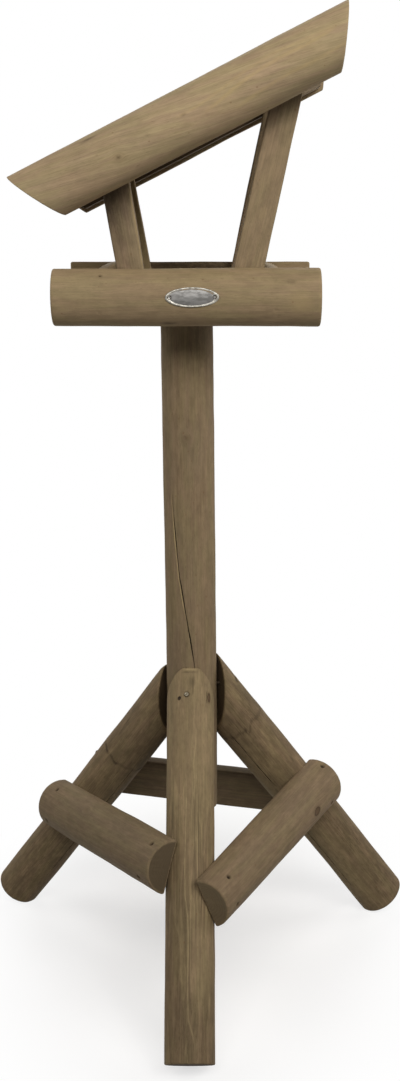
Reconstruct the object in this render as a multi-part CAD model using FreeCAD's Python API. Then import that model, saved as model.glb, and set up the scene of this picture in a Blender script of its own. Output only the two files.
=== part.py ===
import FreeCAD
import Part
import math
import os

from FreeCAD import Vector

# A rustic bird table of round and half-round softwood poles, in millimetres.
# While it is set out, the origin is on the ground under the post: X to the right,
# Y away from the front, Z up. At the end everything is shifted so that the origin
# lies in the middle of the part's footprint.

# Post, upright on three legs.
post_diameter = 63.0
post_bottom = 210.0

# Legs: round poles whose centre lines meet the post's axis. Each is cut upright
# against the post and square at the foot, and its sharp tip is trimmed to a small
# sloping facet. They are set out by hand, so each has its own angle seen from above,
# its own lean, and its own height where its centre line meets the post's.
leg_diameter = 60.0
leg_tip_trim = 2.8
leg_tip_slope = 37.0
foot_chamfer = 1.5
leg_angles = {"leg_front": -90.0, "leg_right": 24.4, "leg_left": 149.8}
leg_leans = {"leg_front": 36.5, "leg_right": 37.0, "leg_left": 37.7}
leg_apexes = {"leg_front": 401.8, "leg_right": 401.0, "leg_left": 395.5}

# Braces: half-round poles, flat against the outside of two legs. Each one climbs
# from a low seat on one leg to a high seat on the next, so their ends pass. The
# overruns are how far both ends go past the legs' centre lines.
brace_diameter = 63.0
brace_overruns = {"brace_left": 4.0, "brace_right": 10.0, "brace_back": 6.0}
brace_low_seats = {"brace_left": 163.0, "brace_right": 163.0, "brace_back": 157.0}
brace_high_seats = {"brace_left": 193.0, "brace_right": 200.0, "brace_back": 195.0}
brace_legs = {
    "brace_left": ("leg_left", "leg_front"),
    "brace_right": ("leg_front", "leg_right"),
    "brace_back": ("leg_right", "leg_left"),
}

# Tray: a frame of half-round rails with the flats inward, and a floor on bearers.
# Its middle is a little to the right of the post.
tray_offset = 2.0
rail_diameter = 63.0
rail_length = 300.0
rail_top = 897.0
tray_width = 182.0
tray_depth = 196.0
floor_thickness = 14.0
floor_drop = 22.0
floor_gap = 3.0
floor_board_count = 3
bearer_width = 20.0
bearer_height = 24.0

# Roof supports: battens inside the front and back rails, leaning outward. Each inset
# runs from the side rail's flat to the batten's middle, level with the rail's top.
batten_width = 30.5
batten_depth = 20.0
batten_chamfer = 2.0
left_batten_inset = 27.3
right_batten_inset = 21.6
left_batten_lean = 9.8
right_batten_lean = 12.4

# Roof: one slope, with a mitred half-round log along the front and the back,
# rafters inside them, and boards from front to back on the rafters. The offset and
# the rise place the middle of the logs' lower edge over the tray.
roof_slope = 26.2
roof_offset = 17.5
roof_rise = 133.4
roof_log_diameter = 63.0
roof_log_length = 331.0
roof_log_mitre = 31.0
rafter_thickness = 30.0
rafter_rise = 5.0
rafter_height = 40.0
rafter_setback = 6.0
roof_board_thickness = 12.0
roof_board_count = 5
roof_board_gap = 2.0

# Oval plate pinned on the front rail, with nothing on it.
plate_width = 60.0
plate_height = 21.0
plate_thickness = 1.0
plate_offset = 6.0
plate_rise = 2.8
pin_spacing = 50.0

# Nails: the diameters of head and shank, and the thickness of the head. The rails, the
# logs and the supports are held by thin nails with small heads.
nail_sizes = {
    "leg_nails": (5.2, 3.0, 1.3),
    "brace_nails": (4.6, 2.8, 1.2),
    "tray_rail_nails": (3.4, 2.2, 1.0),
    "roof_log_nails": (3.4, 2.2, 1.0),
    "roof_support_nails": (3.4, 2.2, 1.0),
    "tray_board_nails": (5.2, 2.8, 1.2),
    "roof_board_nails": (5.2, 2.8, 1.2),
}

# Lengths of the nails, and the sizes of the screws and the plate's pins.
leg_nail_length = 55.0
brace_nail_length = 50.0
rail_nail_length = 60.0
floor_nail_length = 30.0
floor_nail_side = 12.0
batten_nail_length = 36.0
log_nail_length = 55.0
roof_nail_length = 35.0
post_screw_head = 9.0
post_screw_shank = 4.5
post_screw_head_height = 3.0
post_screw_length = 70.0
post_screw_spread = 15.0
bearer_screw_length = 45.0
pin_head = 3.4
pin_shank = 1.6
pin_head_thickness = 0.8
pin_length = 12.0

# Nails driven by hand, so each has its own place. On the legs: to the side of the
# leg's middle, and below its tip.
leg_nail_places = ((-13.5, 33.0), (-4.3, 28.0))
# On the braces: in from the low leg's or high leg's centre line, and across the brace.
brace_nail_places = {
    "brace_left": (((22.0, -21.0), (18.0, 20.0)), ((12.5, -21.5), (21.5, 21.5))),
    "brace_right": (((17.0, -16.0), (11.5, 16.5)), ((-4.3, -22.0), (12.0, 20.0))),
    "brace_back": (((18.0, -19.0), (13.0, 18.0)), ((10.0, -20.0), (16.0, 19.0))),
}
# On the front and back rails: outward from the side rail's flat, and below the top.
rail_nail_places = {
    "left": ((4.2, 7.8), (3.5, 16.4), (6.0, 46.0)),
    "right": ((6.7, 12.2), (7.3, 42.5), (10.8, 49.8)),
}
# On the roof logs: up the slope from the lower corner, and square to it.
log_nail_places = ((49.0, 33.0), (118.0, 32.5), (183.5, 23.5), (262.0, 30.0))

# Clearances.
curved_clearance = 0.3
nail_clearance = 0.15

FAR = 1000.0
UP = Vector(0, 0, 1)
BACK = Vector(0, 1, 0)
RIGHT = Vector(1, 0, 0)

pieces = {}


def frame(origin, x_axis, y_axis):
    """Placement whose X and Y axes are the two given directions."""
    x = Vector(x_axis).normalize()
    z = x.cross(Vector(y_axis)).normalize()
    y = z.cross(x)
    matrix = FreeCAD.Matrix(
        x.x, y.x, z.x, origin.x,
        x.y, y.y, z.y, origin.y,
        x.z, y.z, z.z, origin.z,
        0, 0, 0, 1,
    )
    return FreeCAD.Placement(matrix)


def placed(shape, placement):
    moved = shape.copy()
    moved.Placement = placement.multiply(moved.Placement)
    return moved


def prism(points, direction):
    """Solid swept from a flat outline along a vector."""
    outline = Part.makePolygon([Vector(*p) for p in points] + [Vector(*points[0])])
    return Part.Face(outline).extrude(direction)


def half_round(diameter, length, end_slope=0.0):
    """Half of a pole along X, with its flat on the plane Y = 0, its round side towards
    -Y and its lower edge on Z = 0. The upper edge is longer at both ends by the
    diameter times end_slope."""
    radius = diameter / 2
    reach = diameter * end_slope
    start = Vector(-reach, 0, 0)
    arc = Part.Arc(
        start,
        start + Vector(0, -radius, radius),
        start + Vector(0, 0, diameter),
    ).toShape()
    flat = Part.LineSegment(start + Vector(0, 0, diameter), start).toShape()
    section = Part.Face(Part.Wire([arc, flat]))
    solid = section.extrude(Vector(length + 2 * reach, 0, 0))
    if end_slope:
        outline = [
            (0, -radius - 1, 0),
            (length, -radius - 1, 0),
            (length + reach, -radius - 1, diameter),
            (-reach, -radius - 1, diameter),
        ]
        solid = solid.common(prism(outline, Vector(0, radius + 1, 0)))
    return solid


def fastener(at, along, head, shank, head_height, length, conical=False, spare=0.0):
    """Nail or screw with the top of its head at a point. A spare above zero makes the
    space that it needs instead, open above the head."""
    if conical:
        top = Part.makeCone(head / 2 + spare, shank / 2 + spare, head_height)
    else:
        top = Part.makeCylinder(head / 2 + spare, head_height + spare)
    stem = Part.makeCylinder(shank / 2 + spare, length + spare)
    shape = top.fuse(stem)
    if spare:
        shape = shape.fuse(Part.makeCylinder(head / 2 + spare, head, Vector(0, 0, -head)))
    turn = FreeCAD.Rotation(UP, along)
    return placed(shape, FreeCAD.Placement(at, turn))


def fasten(group, names, points, along, head, shank, head_height, length, conical=False):
    """Adds fasteners to a group, and clears their holes in the named pieces."""
    made = []
    holes = []
    for at in points:
        made.append(fastener(at, along, head, shank, head_height, length, conical))
        holes.append(
            fastener(at, along, head, shank, head_height, length, conical, nail_clearance)
        )
    for name in names:
        pieces[name] = pieces[name].cut(holes)
    pieces[group] = pieces.get(group, []) + made


def nail(group, names, points, along, length):
    head, shank, thickness = nail_sizes[group]
    fasten(group, names, points, along, head, shank, thickness, length)


def head_depth(group):
    """How far the under side of a nail's head lies below its top."""
    return nail_sizes[group][2]


# Heights and directions that follow from the sizes above.
post_radius = post_diameter / 2
leg_radius = leg_diameter / 2
brace_radius = brace_diameter / 2
rail_radius = rail_diameter / 2
floor_top = rail_top - floor_drop
floor_under = floor_top - floor_thickness
rail_bottom = rail_top - rail_diameter


def make_post():
    height = floor_under - post_bottom
    pieces["post"] = Part.makeCylinder(post_radius, height, Vector(0, 0, post_bottom))


def leg_outward(name):
    angle = math.radians(leg_angles[name])
    return Vector(math.cos(angle), math.sin(angle), 0)


def leg_down(name):
    lean = math.radians(leg_leans[name])
    return leg_outward(name) * math.sin(lean) - UP * math.cos(lean)


def leg_point(name, height):
    """Point of a leg's centre line at a height."""
    apex = leg_apexes[name]
    run = (apex - height) / math.cos(math.radians(leg_leans[name]))
    return UP * apex + leg_down(name) * run


def leg_tip(name):
    """Height of the trimmed tip, where the leg leans on the post."""
    lean = math.radians(leg_leans[name])
    seat = post_radius + curved_clearance
    sharp = leg_apexes[name] - seat / math.tan(lean) + leg_radius / math.sin(lean)
    return sharp - leg_tip_trim


def make_leg(name):
    outward = leg_outward(name)
    lean = math.radians(leg_leans[name])
    # The foot stands on the inner edge of its chamfer.
    foot = leg_point(name, (leg_radius - foot_chamfer) * math.sin(lean))
    top = UP * leg_apexes[name]
    pole = Part.makeCylinder(leg_radius, (top - foot).Length + FAR, foot, top - foot)
    rim = [e for e in pole.Edges if e.Closed and (e.CenterOfMass - foot).Length < 1.0]
    pole = pole.makeChamfer(foot_chamfer, rim)
    # What is left stands outside an upright plane beside the post, below the facet.
    seat = post_radius + curved_clearance
    tip = leg_tip(name)
    fall = FAR * math.tan(math.radians(leg_tip_slope))
    corners = ((seat, -FAR), (seat, tip), (seat + FAR, tip - fall), (seat + FAR, -FAR))
    keep = prism([(x, -FAR, z) for x, z in corners], BACK * 2 * FAR)
    pieces[name] = pole.common(placed(keep, frame(Vector(), outward, UP.cross(outward))))


def make_brace(name):
    low_leg, high_leg = brace_legs[name]
    low = leg_point(low_leg, brace_low_seats[name])
    high = leg_point(high_leg, brace_high_seats[name])
    # The flat touches both legs: it is parallel to the two centre lines.
    outward = leg_down(low_leg).cross(leg_down(high_leg)).normalize()
    if outward.dot(low + high - UP * (low + high).z) < 0:
        outward = outward * -1
    along = (high - low).normalize()
    across = along.cross(outward)
    lift = outward * (leg_radius + curved_clearance)
    overrun = brace_overruns[name]
    length = (high - low).Length + 2 * overrun
    corner = low + lift - along * overrun - across * brace_radius
    seat = frame(corner, along, outward * -1)
    if seat.Rotation.multVec(UP).dot(across) < 0:
        corner = corner + across * brace_diameter
        seat = frame(corner, along, outward * -1)
    pieces[name] = placed(half_round(brace_diameter, length), seat)
    # Two nails through each end, square to the flat.
    low_places, high_places = brace_nail_places[name]
    for leg, crossing, inward, places in (
        (low_leg, low, along, low_places),
        (high_leg, high, along * -1, high_places),
    ):
        points = []
        for inset, side in places:
            out = math.sqrt(brace_radius ** 2 - side ** 2) - head_depth("brace_nails")
            points.append(crossing + lift + inward * inset + across * side + outward * out)
        nail("brace_nails", (name, leg), points, outward * -1, brace_nail_length)


def make_leg_nails(name):
    outward = leg_outward(name)
    sideways = UP.cross(outward)
    lean = math.radians(leg_leans[name])
    for side, drop in leg_nail_places:
        height = leg_tip(name) - drop
        bulge = math.sqrt(leg_radius ** 2 - side ** 2)
        # Where the leg's outer face is at this height.
        reach = (leg_apexes[name] - height) * math.tan(lean) + bulge / math.cos(lean)
        head = outward * (reach - head_depth("leg_nails")) + sideways * side
        at = head + UP * height
        nail("leg_nails", (name, "post"), [at], outward * -1, leg_nail_length)


def make_tray():
    front = half_round(rail_diameter, rail_length)
    side = half_round(rail_diameter, tray_depth)
    depth = tray_depth / 2
    width = tray_width / 2
    foot = Vector(tray_offset, 0, rail_bottom)
    pieces["tray_rail_front"] = placed(
        front, frame(foot + Vector(-rail_length / 2, -depth, 0), RIGHT, BACK)
    )
    pieces["tray_rail_back"] = placed(
        front, frame(foot + Vector(rail_length / 2, depth, 0), RIGHT * -1, BACK * -1)
    )
    pieces["tray_rail_left"] = placed(
        side, frame(foot + Vector(-width, depth, 0), BACK * -1, RIGHT)
    )
    pieces["tray_rail_right"] = placed(
        side, frame(foot + Vector(width, -depth, 0), BACK, RIGHT * -1)
    )
    for facing, rail in ((-1, "tray_rail_front"), (1, "tray_rail_back")):
        for hand, end in ((-1, "left"), (1, "right")):
            for inset, drop in rail_nail_places[end]:
                bulge = math.sqrt(rail_radius ** 2 - (rail_radius - drop) ** 2)
                out = depth + bulge - head_depth("tray_rail_nails")
                x = tray_offset + hand * (width + inset)
                at = Vector(x, facing * out, rail_top - drop)
                names = (rail, "tray_rail_" + end)
                nail("tray_rail_nails", names, [at], BACK * -facing, rail_nail_length)


def make_floor():
    # Bearers beside the post's head, with a screw through each one into the post.
    inner = post_radius + curved_clearance
    for hand, name in ((-1, "tray_bearer_left"), (1, "tray_bearer_right")):
        start = inner if hand > 0 else -inner - bearer_width
        corner = Vector(start, -tray_depth / 2, floor_under - bearer_height)
        pieces[name] = Part.makeBox(bearer_width, tray_depth, bearer_height, corner)
        at = Vector(hand * (inner + bearer_width), 0, floor_under - bearer_height / 2)
        fasten(
            "bearer_screws", (name, "post"), [at], Vector(-hand, 0, 0),
            post_screw_head, post_screw_shank, post_screw_head_height,
            bearer_screw_length, True,
        )
    # Boards from side to side, nailed to both bearers.
    pitch = (tray_depth + floor_gap) / floor_board_count
    reach = inner + bearer_width / 2
    for i, part in enumerate(("front", "middle", "back")):
        name = "tray_board_" + part
        start = -tray_depth / 2 + i * pitch
        corner = Vector(tray_offset - tray_width / 2, start, floor_under)
        pieces[name] = Part.makeBox(tray_width, pitch - floor_gap, floor_thickness, corner)
        for hand, bearer in ((-1, "tray_bearer_left"), (1, "tray_bearer_right")):
            side = start + (pitch - floor_gap) / 2 + floor_nail_side
            at = Vector(hand * reach, side, floor_top)
            nail("tray_board_nails", (name, bearer), [at], UP * -1, floor_nail_length)
    # Screws down through the middle board into the end of the post.
    points = [Vector(0, side * post_screw_spread, floor_top) for side in (-1, 1)]
    fasten(
        "post_screws", ("tray_board_middle", "post"), points, UP * -1,
        post_screw_head, post_screw_shank, post_screw_head_height,
        post_screw_length, True,
    )


# The roof is set out along its slope: s runs up the lower edge of the logs and
# h is square to it.
slope = math.radians(roof_slope)
slope_along = Vector(math.cos(slope), 0, math.sin(slope))
slope_up = Vector(-math.sin(slope), 0, math.cos(slope))
mitre = math.tan(math.radians(roof_log_mitre))
roof_log_flat = tray_depth / 2 + rafter_thickness
roof_middle = Vector(tray_offset + roof_offset, 0, rail_top + roof_rise)
deck_under = rafter_rise + rafter_height
deck_start = rafter_setback - deck_under * mitre
deck_length = roof_log_length - 2 * deck_start
roof_board_pitch = (deck_length + roof_board_gap) / roof_board_count


def roof_point(s, h, y):
    middle = roof_middle + BACK * y
    return middle + slope_along * (s - roof_log_length / 2) + slope_up * h


def make_roof_logs():
    log = half_round(roof_log_diameter, roof_log_length, mitre)
    front = placed(log, frame(roof_point(0, 0, -roof_log_flat), slope_along, BACK))
    pieces["roof_log_front"] = front
    pieces["roof_log_back"] = front.mirror(Vector(), BACK)


def make_rafters():
    # The ends follow the logs' mitres, a little way in.
    low = rafter_setback - rafter_rise * mitre
    high = deck_start
    corners = (
        (low, rafter_rise),
        (roof_log_length - low, rafter_rise),
        (roof_log_length - high, deck_under),
        (high, deck_under),
    )
    radius = roof_log_diameter / 2
    for facing, end in ((-1, "front"), (1, "back")):
        rafter = "roof_rafter_" + end
        start = -roof_log_flat if facing < 0 else roof_log_flat - rafter_thickness
        outline = [roof_point(s, h, start) for s, h in corners]
        pieces[rafter] = prism(outline, BACK * rafter_thickness)
        points = []
        for s, h in log_nail_places:
            out = roof_log_flat + math.sqrt(radius ** 2 - (radius - h) ** 2)
            points.append(roof_point(s, h, facing * (out - head_depth("roof_log_nails"))))
        nail(
            "roof_log_nails", ("roof_log_" + end, rafter), points,
            BACK * -facing, log_nail_length,
        )


def make_roof_boards():
    rafter_middle = (roof_log_flat + tray_depth / 2) / 2
    for i in range(roof_board_count):
        name = "roof_board_%d" % (i + 1)
        start = deck_start + i * roof_board_pitch
        width = roof_board_pitch - roof_board_gap
        board = Part.makeBox(width, 2 * roof_log_flat, roof_board_thickness)
        corner = roof_point(start, deck_under, -roof_log_flat)
        pieces[name] = placed(board, frame(corner, slope_along, BACK))
        for facing, end in ((-1, "front"), (1, "back")):
            at = roof_point(
                start + width / 2, deck_under + roof_board_thickness, facing * rafter_middle
            )
            rafter = "roof_rafter_" + end
            nail("roof_board_nails", (name, rafter), [at], slope_up * -1, roof_nail_length)


def make_supports():
    """Battens from the tray's floor up to the roof boards, cut to the slope on top."""
    low = roof_point(deck_start, deck_under, 0)
    high = roof_point(deck_start + deck_length, deck_under, 0)
    corners = ((low.x, floor_top), (high.x, floor_top), (high.x, high.z), (low.x, low.z))
    under_roof = prism([(x, -FAR, z) for x, z in corners], BACK * 2 * FAR)
    for hand, side, inset, angle in (
        (-1, "left", left_batten_inset, left_batten_lean),
        (1, "right", right_batten_inset, right_batten_lean),
    ):
        lean = math.radians(hand * angle)
        foot = Vector(tray_offset + hand * (tray_width / 2 - inset), 0, rail_top)
        along = Vector(math.sin(lean), 0, math.cos(lean))
        for facing, end in ((-1, "front"), (1, "back")):
            name = "roof_support_%s_%s" % (end, side)
            y = -tray_depth / 2 if facing < 0 else tray_depth / 2 - batten_depth
            corner = Vector(-batten_width / 2, y, -FAR)
            batten = Part.makeBox(batten_width, batten_depth, 2 * FAR, corner)
            long_edges = [e for e in batten.Edges if e.Length > FAR]
            batten = batten.makeChamfer(batten_chamfer, long_edges)
            leaning = FreeCAD.Placement(foot, FreeCAD.Rotation(UP, along))
            pieces[name] = placed(batten, leaning).common(under_roof)
            # One nail into the rail and one into the rafter, from inside.
            inside = BACK * facing * (tray_depth / 2 - batten_depth)
            beside_rail = foot - along * (floor_drop / 2 / along.z)
            up_to_roof = (low - foot).dot(slope_up) / along.dot(slope_up)
            beside_rafter = foot + along * up_to_roof - slope_up * rafter_height / 2
            for carrier, at in (
                ("tray_rail_" + end, beside_rail + inside),
                ("roof_rafter_" + end, beside_rafter + inside),
            ):
                nail(
                    "roof_support_nails", (name, carrier), [at],
                    BACK * facing, batten_nail_length,
                )


def make_plate():
    """Thin oval sheet bent round the front rail, with a pin at each end."""
    centre_z = rail_top - rail_radius
    depth = tray_depth / 2
    inner = rail_radius + curved_clearance
    x = tray_offset + plate_offset
    axis_start = Vector(x - plate_width, -depth, centre_z)
    sheet = Part.makeCylinder(inner + plate_thickness, 2 * plate_width, axis_start, RIGHT)
    sheet = sheet.cut(Part.makeCylinder(inner, 2 * plate_width, axis_start, RIGHT))
    middle = Vector(x, -depth, centre_z + plate_rise)
    oval = Part.Ellipse(middle, plate_width / 2, plate_height / 2).toShape()
    oval.rotate(middle, RIGHT, 90)
    window = Part.Face(Part.Wire([oval])).extrude(BACK * -rail_diameter)
    pieces["oval_plate"] = sheet.common(window)
    out = depth + math.sqrt((inner + plate_thickness) ** 2 - plate_rise ** 2)
    # The pins' heads stand just clear of the plate.
    y = -out - pin_head_thickness - curved_clearance / 2
    points = []
    for side in (-1, 1):
        points.append(Vector(x + side * pin_spacing / 2, y, centre_z + plate_rise))
    fasten(
        "plate_pins", ("oval_plate", "tray_rail_front"), points, BACK,
        pin_head, pin_shank, pin_head_thickness, pin_length,
    )


make_post()
for leg in leg_angles:
    make_leg(leg)
    make_leg_nails(leg)
for brace in brace_legs:
    make_brace(brace)
make_tray()
make_floor()
make_roof_logs()
make_rafters()
make_roof_boards()
make_supports()
make_plate()

# Groups of fasteners become one compound each, and all pieces move together.
for name, shape in pieces.items():
    if isinstance(shape, list):
        pieces[name] = Part.makeCompound(shape)
whole = Part.makeCompound(list(pieces.values()))
box = whole.optimalBoundingBox(False)
shift = Vector(-(box.XMin + box.XMax) / 2, -(box.YMin + box.YMax) / 2, -box.ZMin)
os.makedirs("parts", exist_ok=True)
for name, shape in pieces.items():
    shape.translate(shift)
    shape.exportStep("parts/" + name + ".step")
print("origin moved by", shift)
print("size", box.XLength, box.YLength, box.ZLength)
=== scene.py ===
import math

import bmesh
import bpy
import numpy as np
from mathutils import Matrix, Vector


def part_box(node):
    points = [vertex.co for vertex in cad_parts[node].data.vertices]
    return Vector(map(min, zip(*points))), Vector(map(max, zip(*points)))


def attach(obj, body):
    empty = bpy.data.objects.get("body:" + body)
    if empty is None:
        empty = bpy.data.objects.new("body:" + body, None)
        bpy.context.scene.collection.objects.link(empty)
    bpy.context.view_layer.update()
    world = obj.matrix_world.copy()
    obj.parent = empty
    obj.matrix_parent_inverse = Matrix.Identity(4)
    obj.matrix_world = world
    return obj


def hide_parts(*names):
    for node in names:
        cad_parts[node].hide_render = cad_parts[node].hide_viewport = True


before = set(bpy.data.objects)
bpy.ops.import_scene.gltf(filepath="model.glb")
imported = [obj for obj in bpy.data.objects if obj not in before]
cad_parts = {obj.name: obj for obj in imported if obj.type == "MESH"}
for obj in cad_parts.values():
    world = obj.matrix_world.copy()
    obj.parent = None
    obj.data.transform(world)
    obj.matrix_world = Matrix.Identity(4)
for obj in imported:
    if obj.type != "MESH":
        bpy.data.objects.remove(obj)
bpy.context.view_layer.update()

# Bird table of impregnated softwood poles. All pieces are set out in millimetres from
# the point on the ground under the post, as in the solids, and made in metres.
mm = 0.001
postLow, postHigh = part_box("post")
underPost = np.array([(postLow.x + postHigh.x) / 2, (postLow.y + postHigh.y) / 2, 0.0])
right, back, up = np.eye(3)


def unit(vector):
    return np.asarray(vector, float) / np.linalg.norm(vector)


def fromPost(point):
    return (np.array(point) - underPost) / mm


def fullTurn(count):
    return np.linspace(0, 2 * math.pi, count, endpoint=False)


def circle(angle):
    return np.stack([np.cos(angle), np.sin(angle)], -1)


def ramp(value):
    return np.clip(value, 0, 1)


def wave(points, sizes, seed, count=9):
    # Smooth random field from a few slanting sine waves, about -1 to 1.
    draw = np.random.default_rng(seed)
    scaled = points / np.asarray(sizes, float)
    field = np.zeros(points.shape[:-1])
    for _ in range(count):
        lean = unit(draw.normal(size=3)) * draw.uniform(0.5, 1.6) * 2 * math.pi
        field += np.sin(scaled @ lean + draw.uniform(0, 2 * math.pi))
    return field / math.sqrt(count)


# Outlines of the sections, as closed runs of points (u across, v outward).

def roundOutline(radius):
    return radius * circle(fullTurn(720))


def halfRoundOutline(radius, ease):
    # The flat lies on v = 0. Both arrises are eased by small arcs.
    lean = math.asin(ease / (radius - ease))
    arc = np.linspace(lean, math.pi - lean, 400)
    turn = np.linspace(-math.pi / 2, lean, 40)[:-1]
    reach = (radius - ease) * math.cos(lean)
    corner = (reach, ease) + ease * circle(turn)
    flat = np.linspace(-reach, reach, 200)[1:-1, None] * (1, 0)
    return np.concatenate([corner, radius * circle(arc), corner[::-1] * (-1, 1), flat])


def boardOutline(width, depth, ease):
    # Rectangle about the middle, with its edges eased by small arcs.
    arcs = []
    for quarter, signs in enumerate(((1, 1), (-1, 1), (-1, -1), (1, -1))):
        angle = np.linspace(0, math.pi / 2, 24) + quarter * math.pi / 2
        corner = np.array(signs) * (width / 2 - ease, depth / 2 - ease)
        arcs.append(corner + ease * circle(angle))
    share = np.linspace(0, 1, 120)[1:-1, None]
    points = []
    for arc, following in zip(arcs, arcs[1:] + arcs[:1]):
        points += [arc, arc[-1] + (following[0] - arc[-1]) * share]
    return np.concatenate(points)


class Outline:
    # A closed outline that can be read at any length p along it.
    def __init__(self, points):
        self.points = np.concatenate([points, points[:1]])
        step = np.linalg.norm(np.diff(self.points, axis=0), axis=1)
        self.p = np.concatenate([[0], np.cumsum(step)])
        self.length = self.p[-1]
        ahead = np.roll(points, -1, 0) - np.roll(points, 1, 0)
        normal = np.stack([ahead[:, 1], -ahead[:, 0]], 1)
        normal /= np.linalg.norm(normal, axis=1)[:, None]
        self.normals = np.concatenate([normal, normal[:1]])
        heading = np.unwrap(np.arctan2(self.normals[:, 1], self.normals[:, 0]))
        self.bend = np.abs(np.gradient(heading, self.p + np.arange(len(self.p)) * 1e-9))

    def read(self, values, p):
        wrapped = np.mod(p, self.length)
        return np.stack([np.interp(wrapped, self.p, values[:, k]) for k in (0, 1)], -1)

    def at(self, p):
        return self.read(self.points, p)

    def normalAt(self, p):
        normal = self.read(self.normals, p)
        return normal / np.linalg.norm(normal, axis=-1)[..., None]

    def wrapped(self, off):
        # The shorter way round, as a length with its sign.
        return (off + self.length / 2) % self.length - self.length / 2

    def nearest(self, uv):
        gap = np.linalg.norm(self.points - np.asarray(uv), axis=1)
        return self.p[gap.argmin()], gap.min()

    def toward(self, degrees):
        # Length along the outline in a direction from its middle: 90 is outward.
        angle = np.arctan2(self.points[:, 1], self.points[:, 0])
        off = np.abs(np.angle(np.exp(1j * (angle - math.radians(degrees)))))
        return self.p[off.argmin()]

    def across(self, u):
        # Length along the outline where its outer side has this u.
        gap = np.abs(self.points[:, 0] - u) + 50 * (self.points[:, 1] < 0.1)
        return self.p[gap.argmin()]


def spread(length, spacing, fine, outline=None):
    # Stations along a length: evenly spaced, and closer together round fine places. Round
    # an outline they are closer at its bends too, and the last one is the first again.
    dense = np.linspace(0, length, 6001)
    density = np.full(dense.shape, 1 / spacing)
    for place, reach, gap in fine:
        off = np.abs(dense - place)
        if outline:
            off = np.minimum(off, length - off)
        blend = ramp(2 - off / reach)
        density = np.maximum(density, (1 - blend) / spacing + blend / gap)
    if outline:
        density = np.maximum(density, np.interp(dense, outline.p, outline.bend) / 0.4)
    steps = (density[1:] + density[:-1]) / 2 * np.diff(dense)
    total = np.concatenate([[0], np.cumsum(steps)])
    count = max(int(math.ceil(total[-1])), 4)
    stations = np.interp(np.linspace(0, total[-1], count + 1), total, dense)
    return stations[:-1] if outline else stations


# Nails, screws and pins: where each one is, read from the solids.

def islandsOf(body):
    # Points of each separate lump of a mesh, in the same order each run.
    left = set(body.verts)
    while left:
        island = []
        reached = [left.pop()]
        while reached:
            vertex = reached.pop()
            island.append(vertex.co[:])
            ahead = {edge.other_vert(vertex) for edge in vertex.link_edges} & left
            left -= ahead
            reached += ahead
        yield np.array(sorted(island))


def fastenersOf(group):
    near = 1e-4
    body = bmesh.new()
    body.from_mesh(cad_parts[group].data)
    bmesh.ops.remove_doubles(body, verts=body.verts, dist=1e-6)
    found = []
    for points in islandsOf(body):
        middle = points.mean(0)
        axis = unit(np.linalg.svd(points - middle, full_matrices=False)[2][0])
        along = (points - middle) @ axis
        rim = np.linalg.norm(points - middle - along[:, None] * axis, axis=1)
        if rim[along > along.max() - near].max() > rim[along < along.min() + near].max():
            axis = -axis
            along = -along
        top = points[along < along.min() + near].mean(0)
        found.append({"group": group, "top": fromPost(top), "into": axis,
                      "length": np.ptp(along) / mm, "head": rim.max() / mm,
                      "shank": rim[along > along.max() - near].max() / mm})
    body.free()
    return sorted(found, key=lambda item: tuple(np.round(item["top"], 1)))


# Each group with its metal. Those in rails and logs are flush, the others sunk a little.
fastenerGroups = {
    "leg_nails": "oldNail", "brace_nails": "oldNail", "tray_rail_nails": "stainedNail",
    "tray_board_nails": "oldNail", "roof_support_nails": "oldNail",
    "roof_log_nails": "stainedNail", "roof_board_nails": "oldNail",
    "post_screws": "zincScrew", "bearer_screws": "zincScrew", "plate_pins": "plateRim"}
fasteners = [item for group in fastenerGroups for item in fastenersOf(group)]
sinkDraw = np.random.default_rng(41)
# The stain darkens the wood round each head, partly as a real nail stain and partly as painted
# shade of the hole it sits in.
for item in fasteners:
    if fastenerGroups[item["group"]] == "stainedNail":
        item.update(sink=sinkDraw.uniform(0.08, 0.2), dent=0.06, hole=item["head"], stain=0.1)
    else:
        item.update(sink=sinkDraw.uniform(0.5, 1.2), dent=0.25, hole=1.15 * item["head"],
                    stain=0.75)

    # The nails of the braces went in deep, and their holes are painted near black as painted
    # shade.
    if item["group"] == "brace_nails":
        item.update(sink=1.5 + 0.4 * item["sink"], hole=0.95 * item["head"], stain=0.9, open=0.38)

# Of the two nails in the front leg's tip one is bright and one has gone in deep, its hole painted
# near black as painted shade.
tipNails = [item for item in fasteners if item["group"] == "leg_nails" and item["into"][1] > 0.9]
deepNail, brightNail = sorted(tipNails, key=lambda item: item["top"][0])
brightNail.update(bright=True, sink=0.9, stain=0.9, hole=2.7)
deepNail.update(sink=2.6, dent=-0.9, hole=1.7, stain=1.0, open=1.0)
print("fasteners read:", len(fasteners))


# Meshes: a tube of points, row after row, closed by a fan to one point at each end.

def tubeFaces(rows, columns, inward=False):
    index = np.arange(rows * columns).reshape(rows, columns)
    after = np.roll(index, -1, 1)
    quads = np.stack([index[:-1], after[:-1], after[1:], index[1:]], -1).reshape(-1, 4)
    fans = [np.stack([np.full(columns, rows * columns), after[0], index[0]], -1),
            np.stack([np.full(columns, rows * columns + 1), index[-1], after[-1]], -1)]
    tris = np.concatenate(fans)
    if inward:
        return quads[:, [0, 3, 2, 1]], tris[:, [0, 2, 1]]
    return quads, tris


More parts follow.
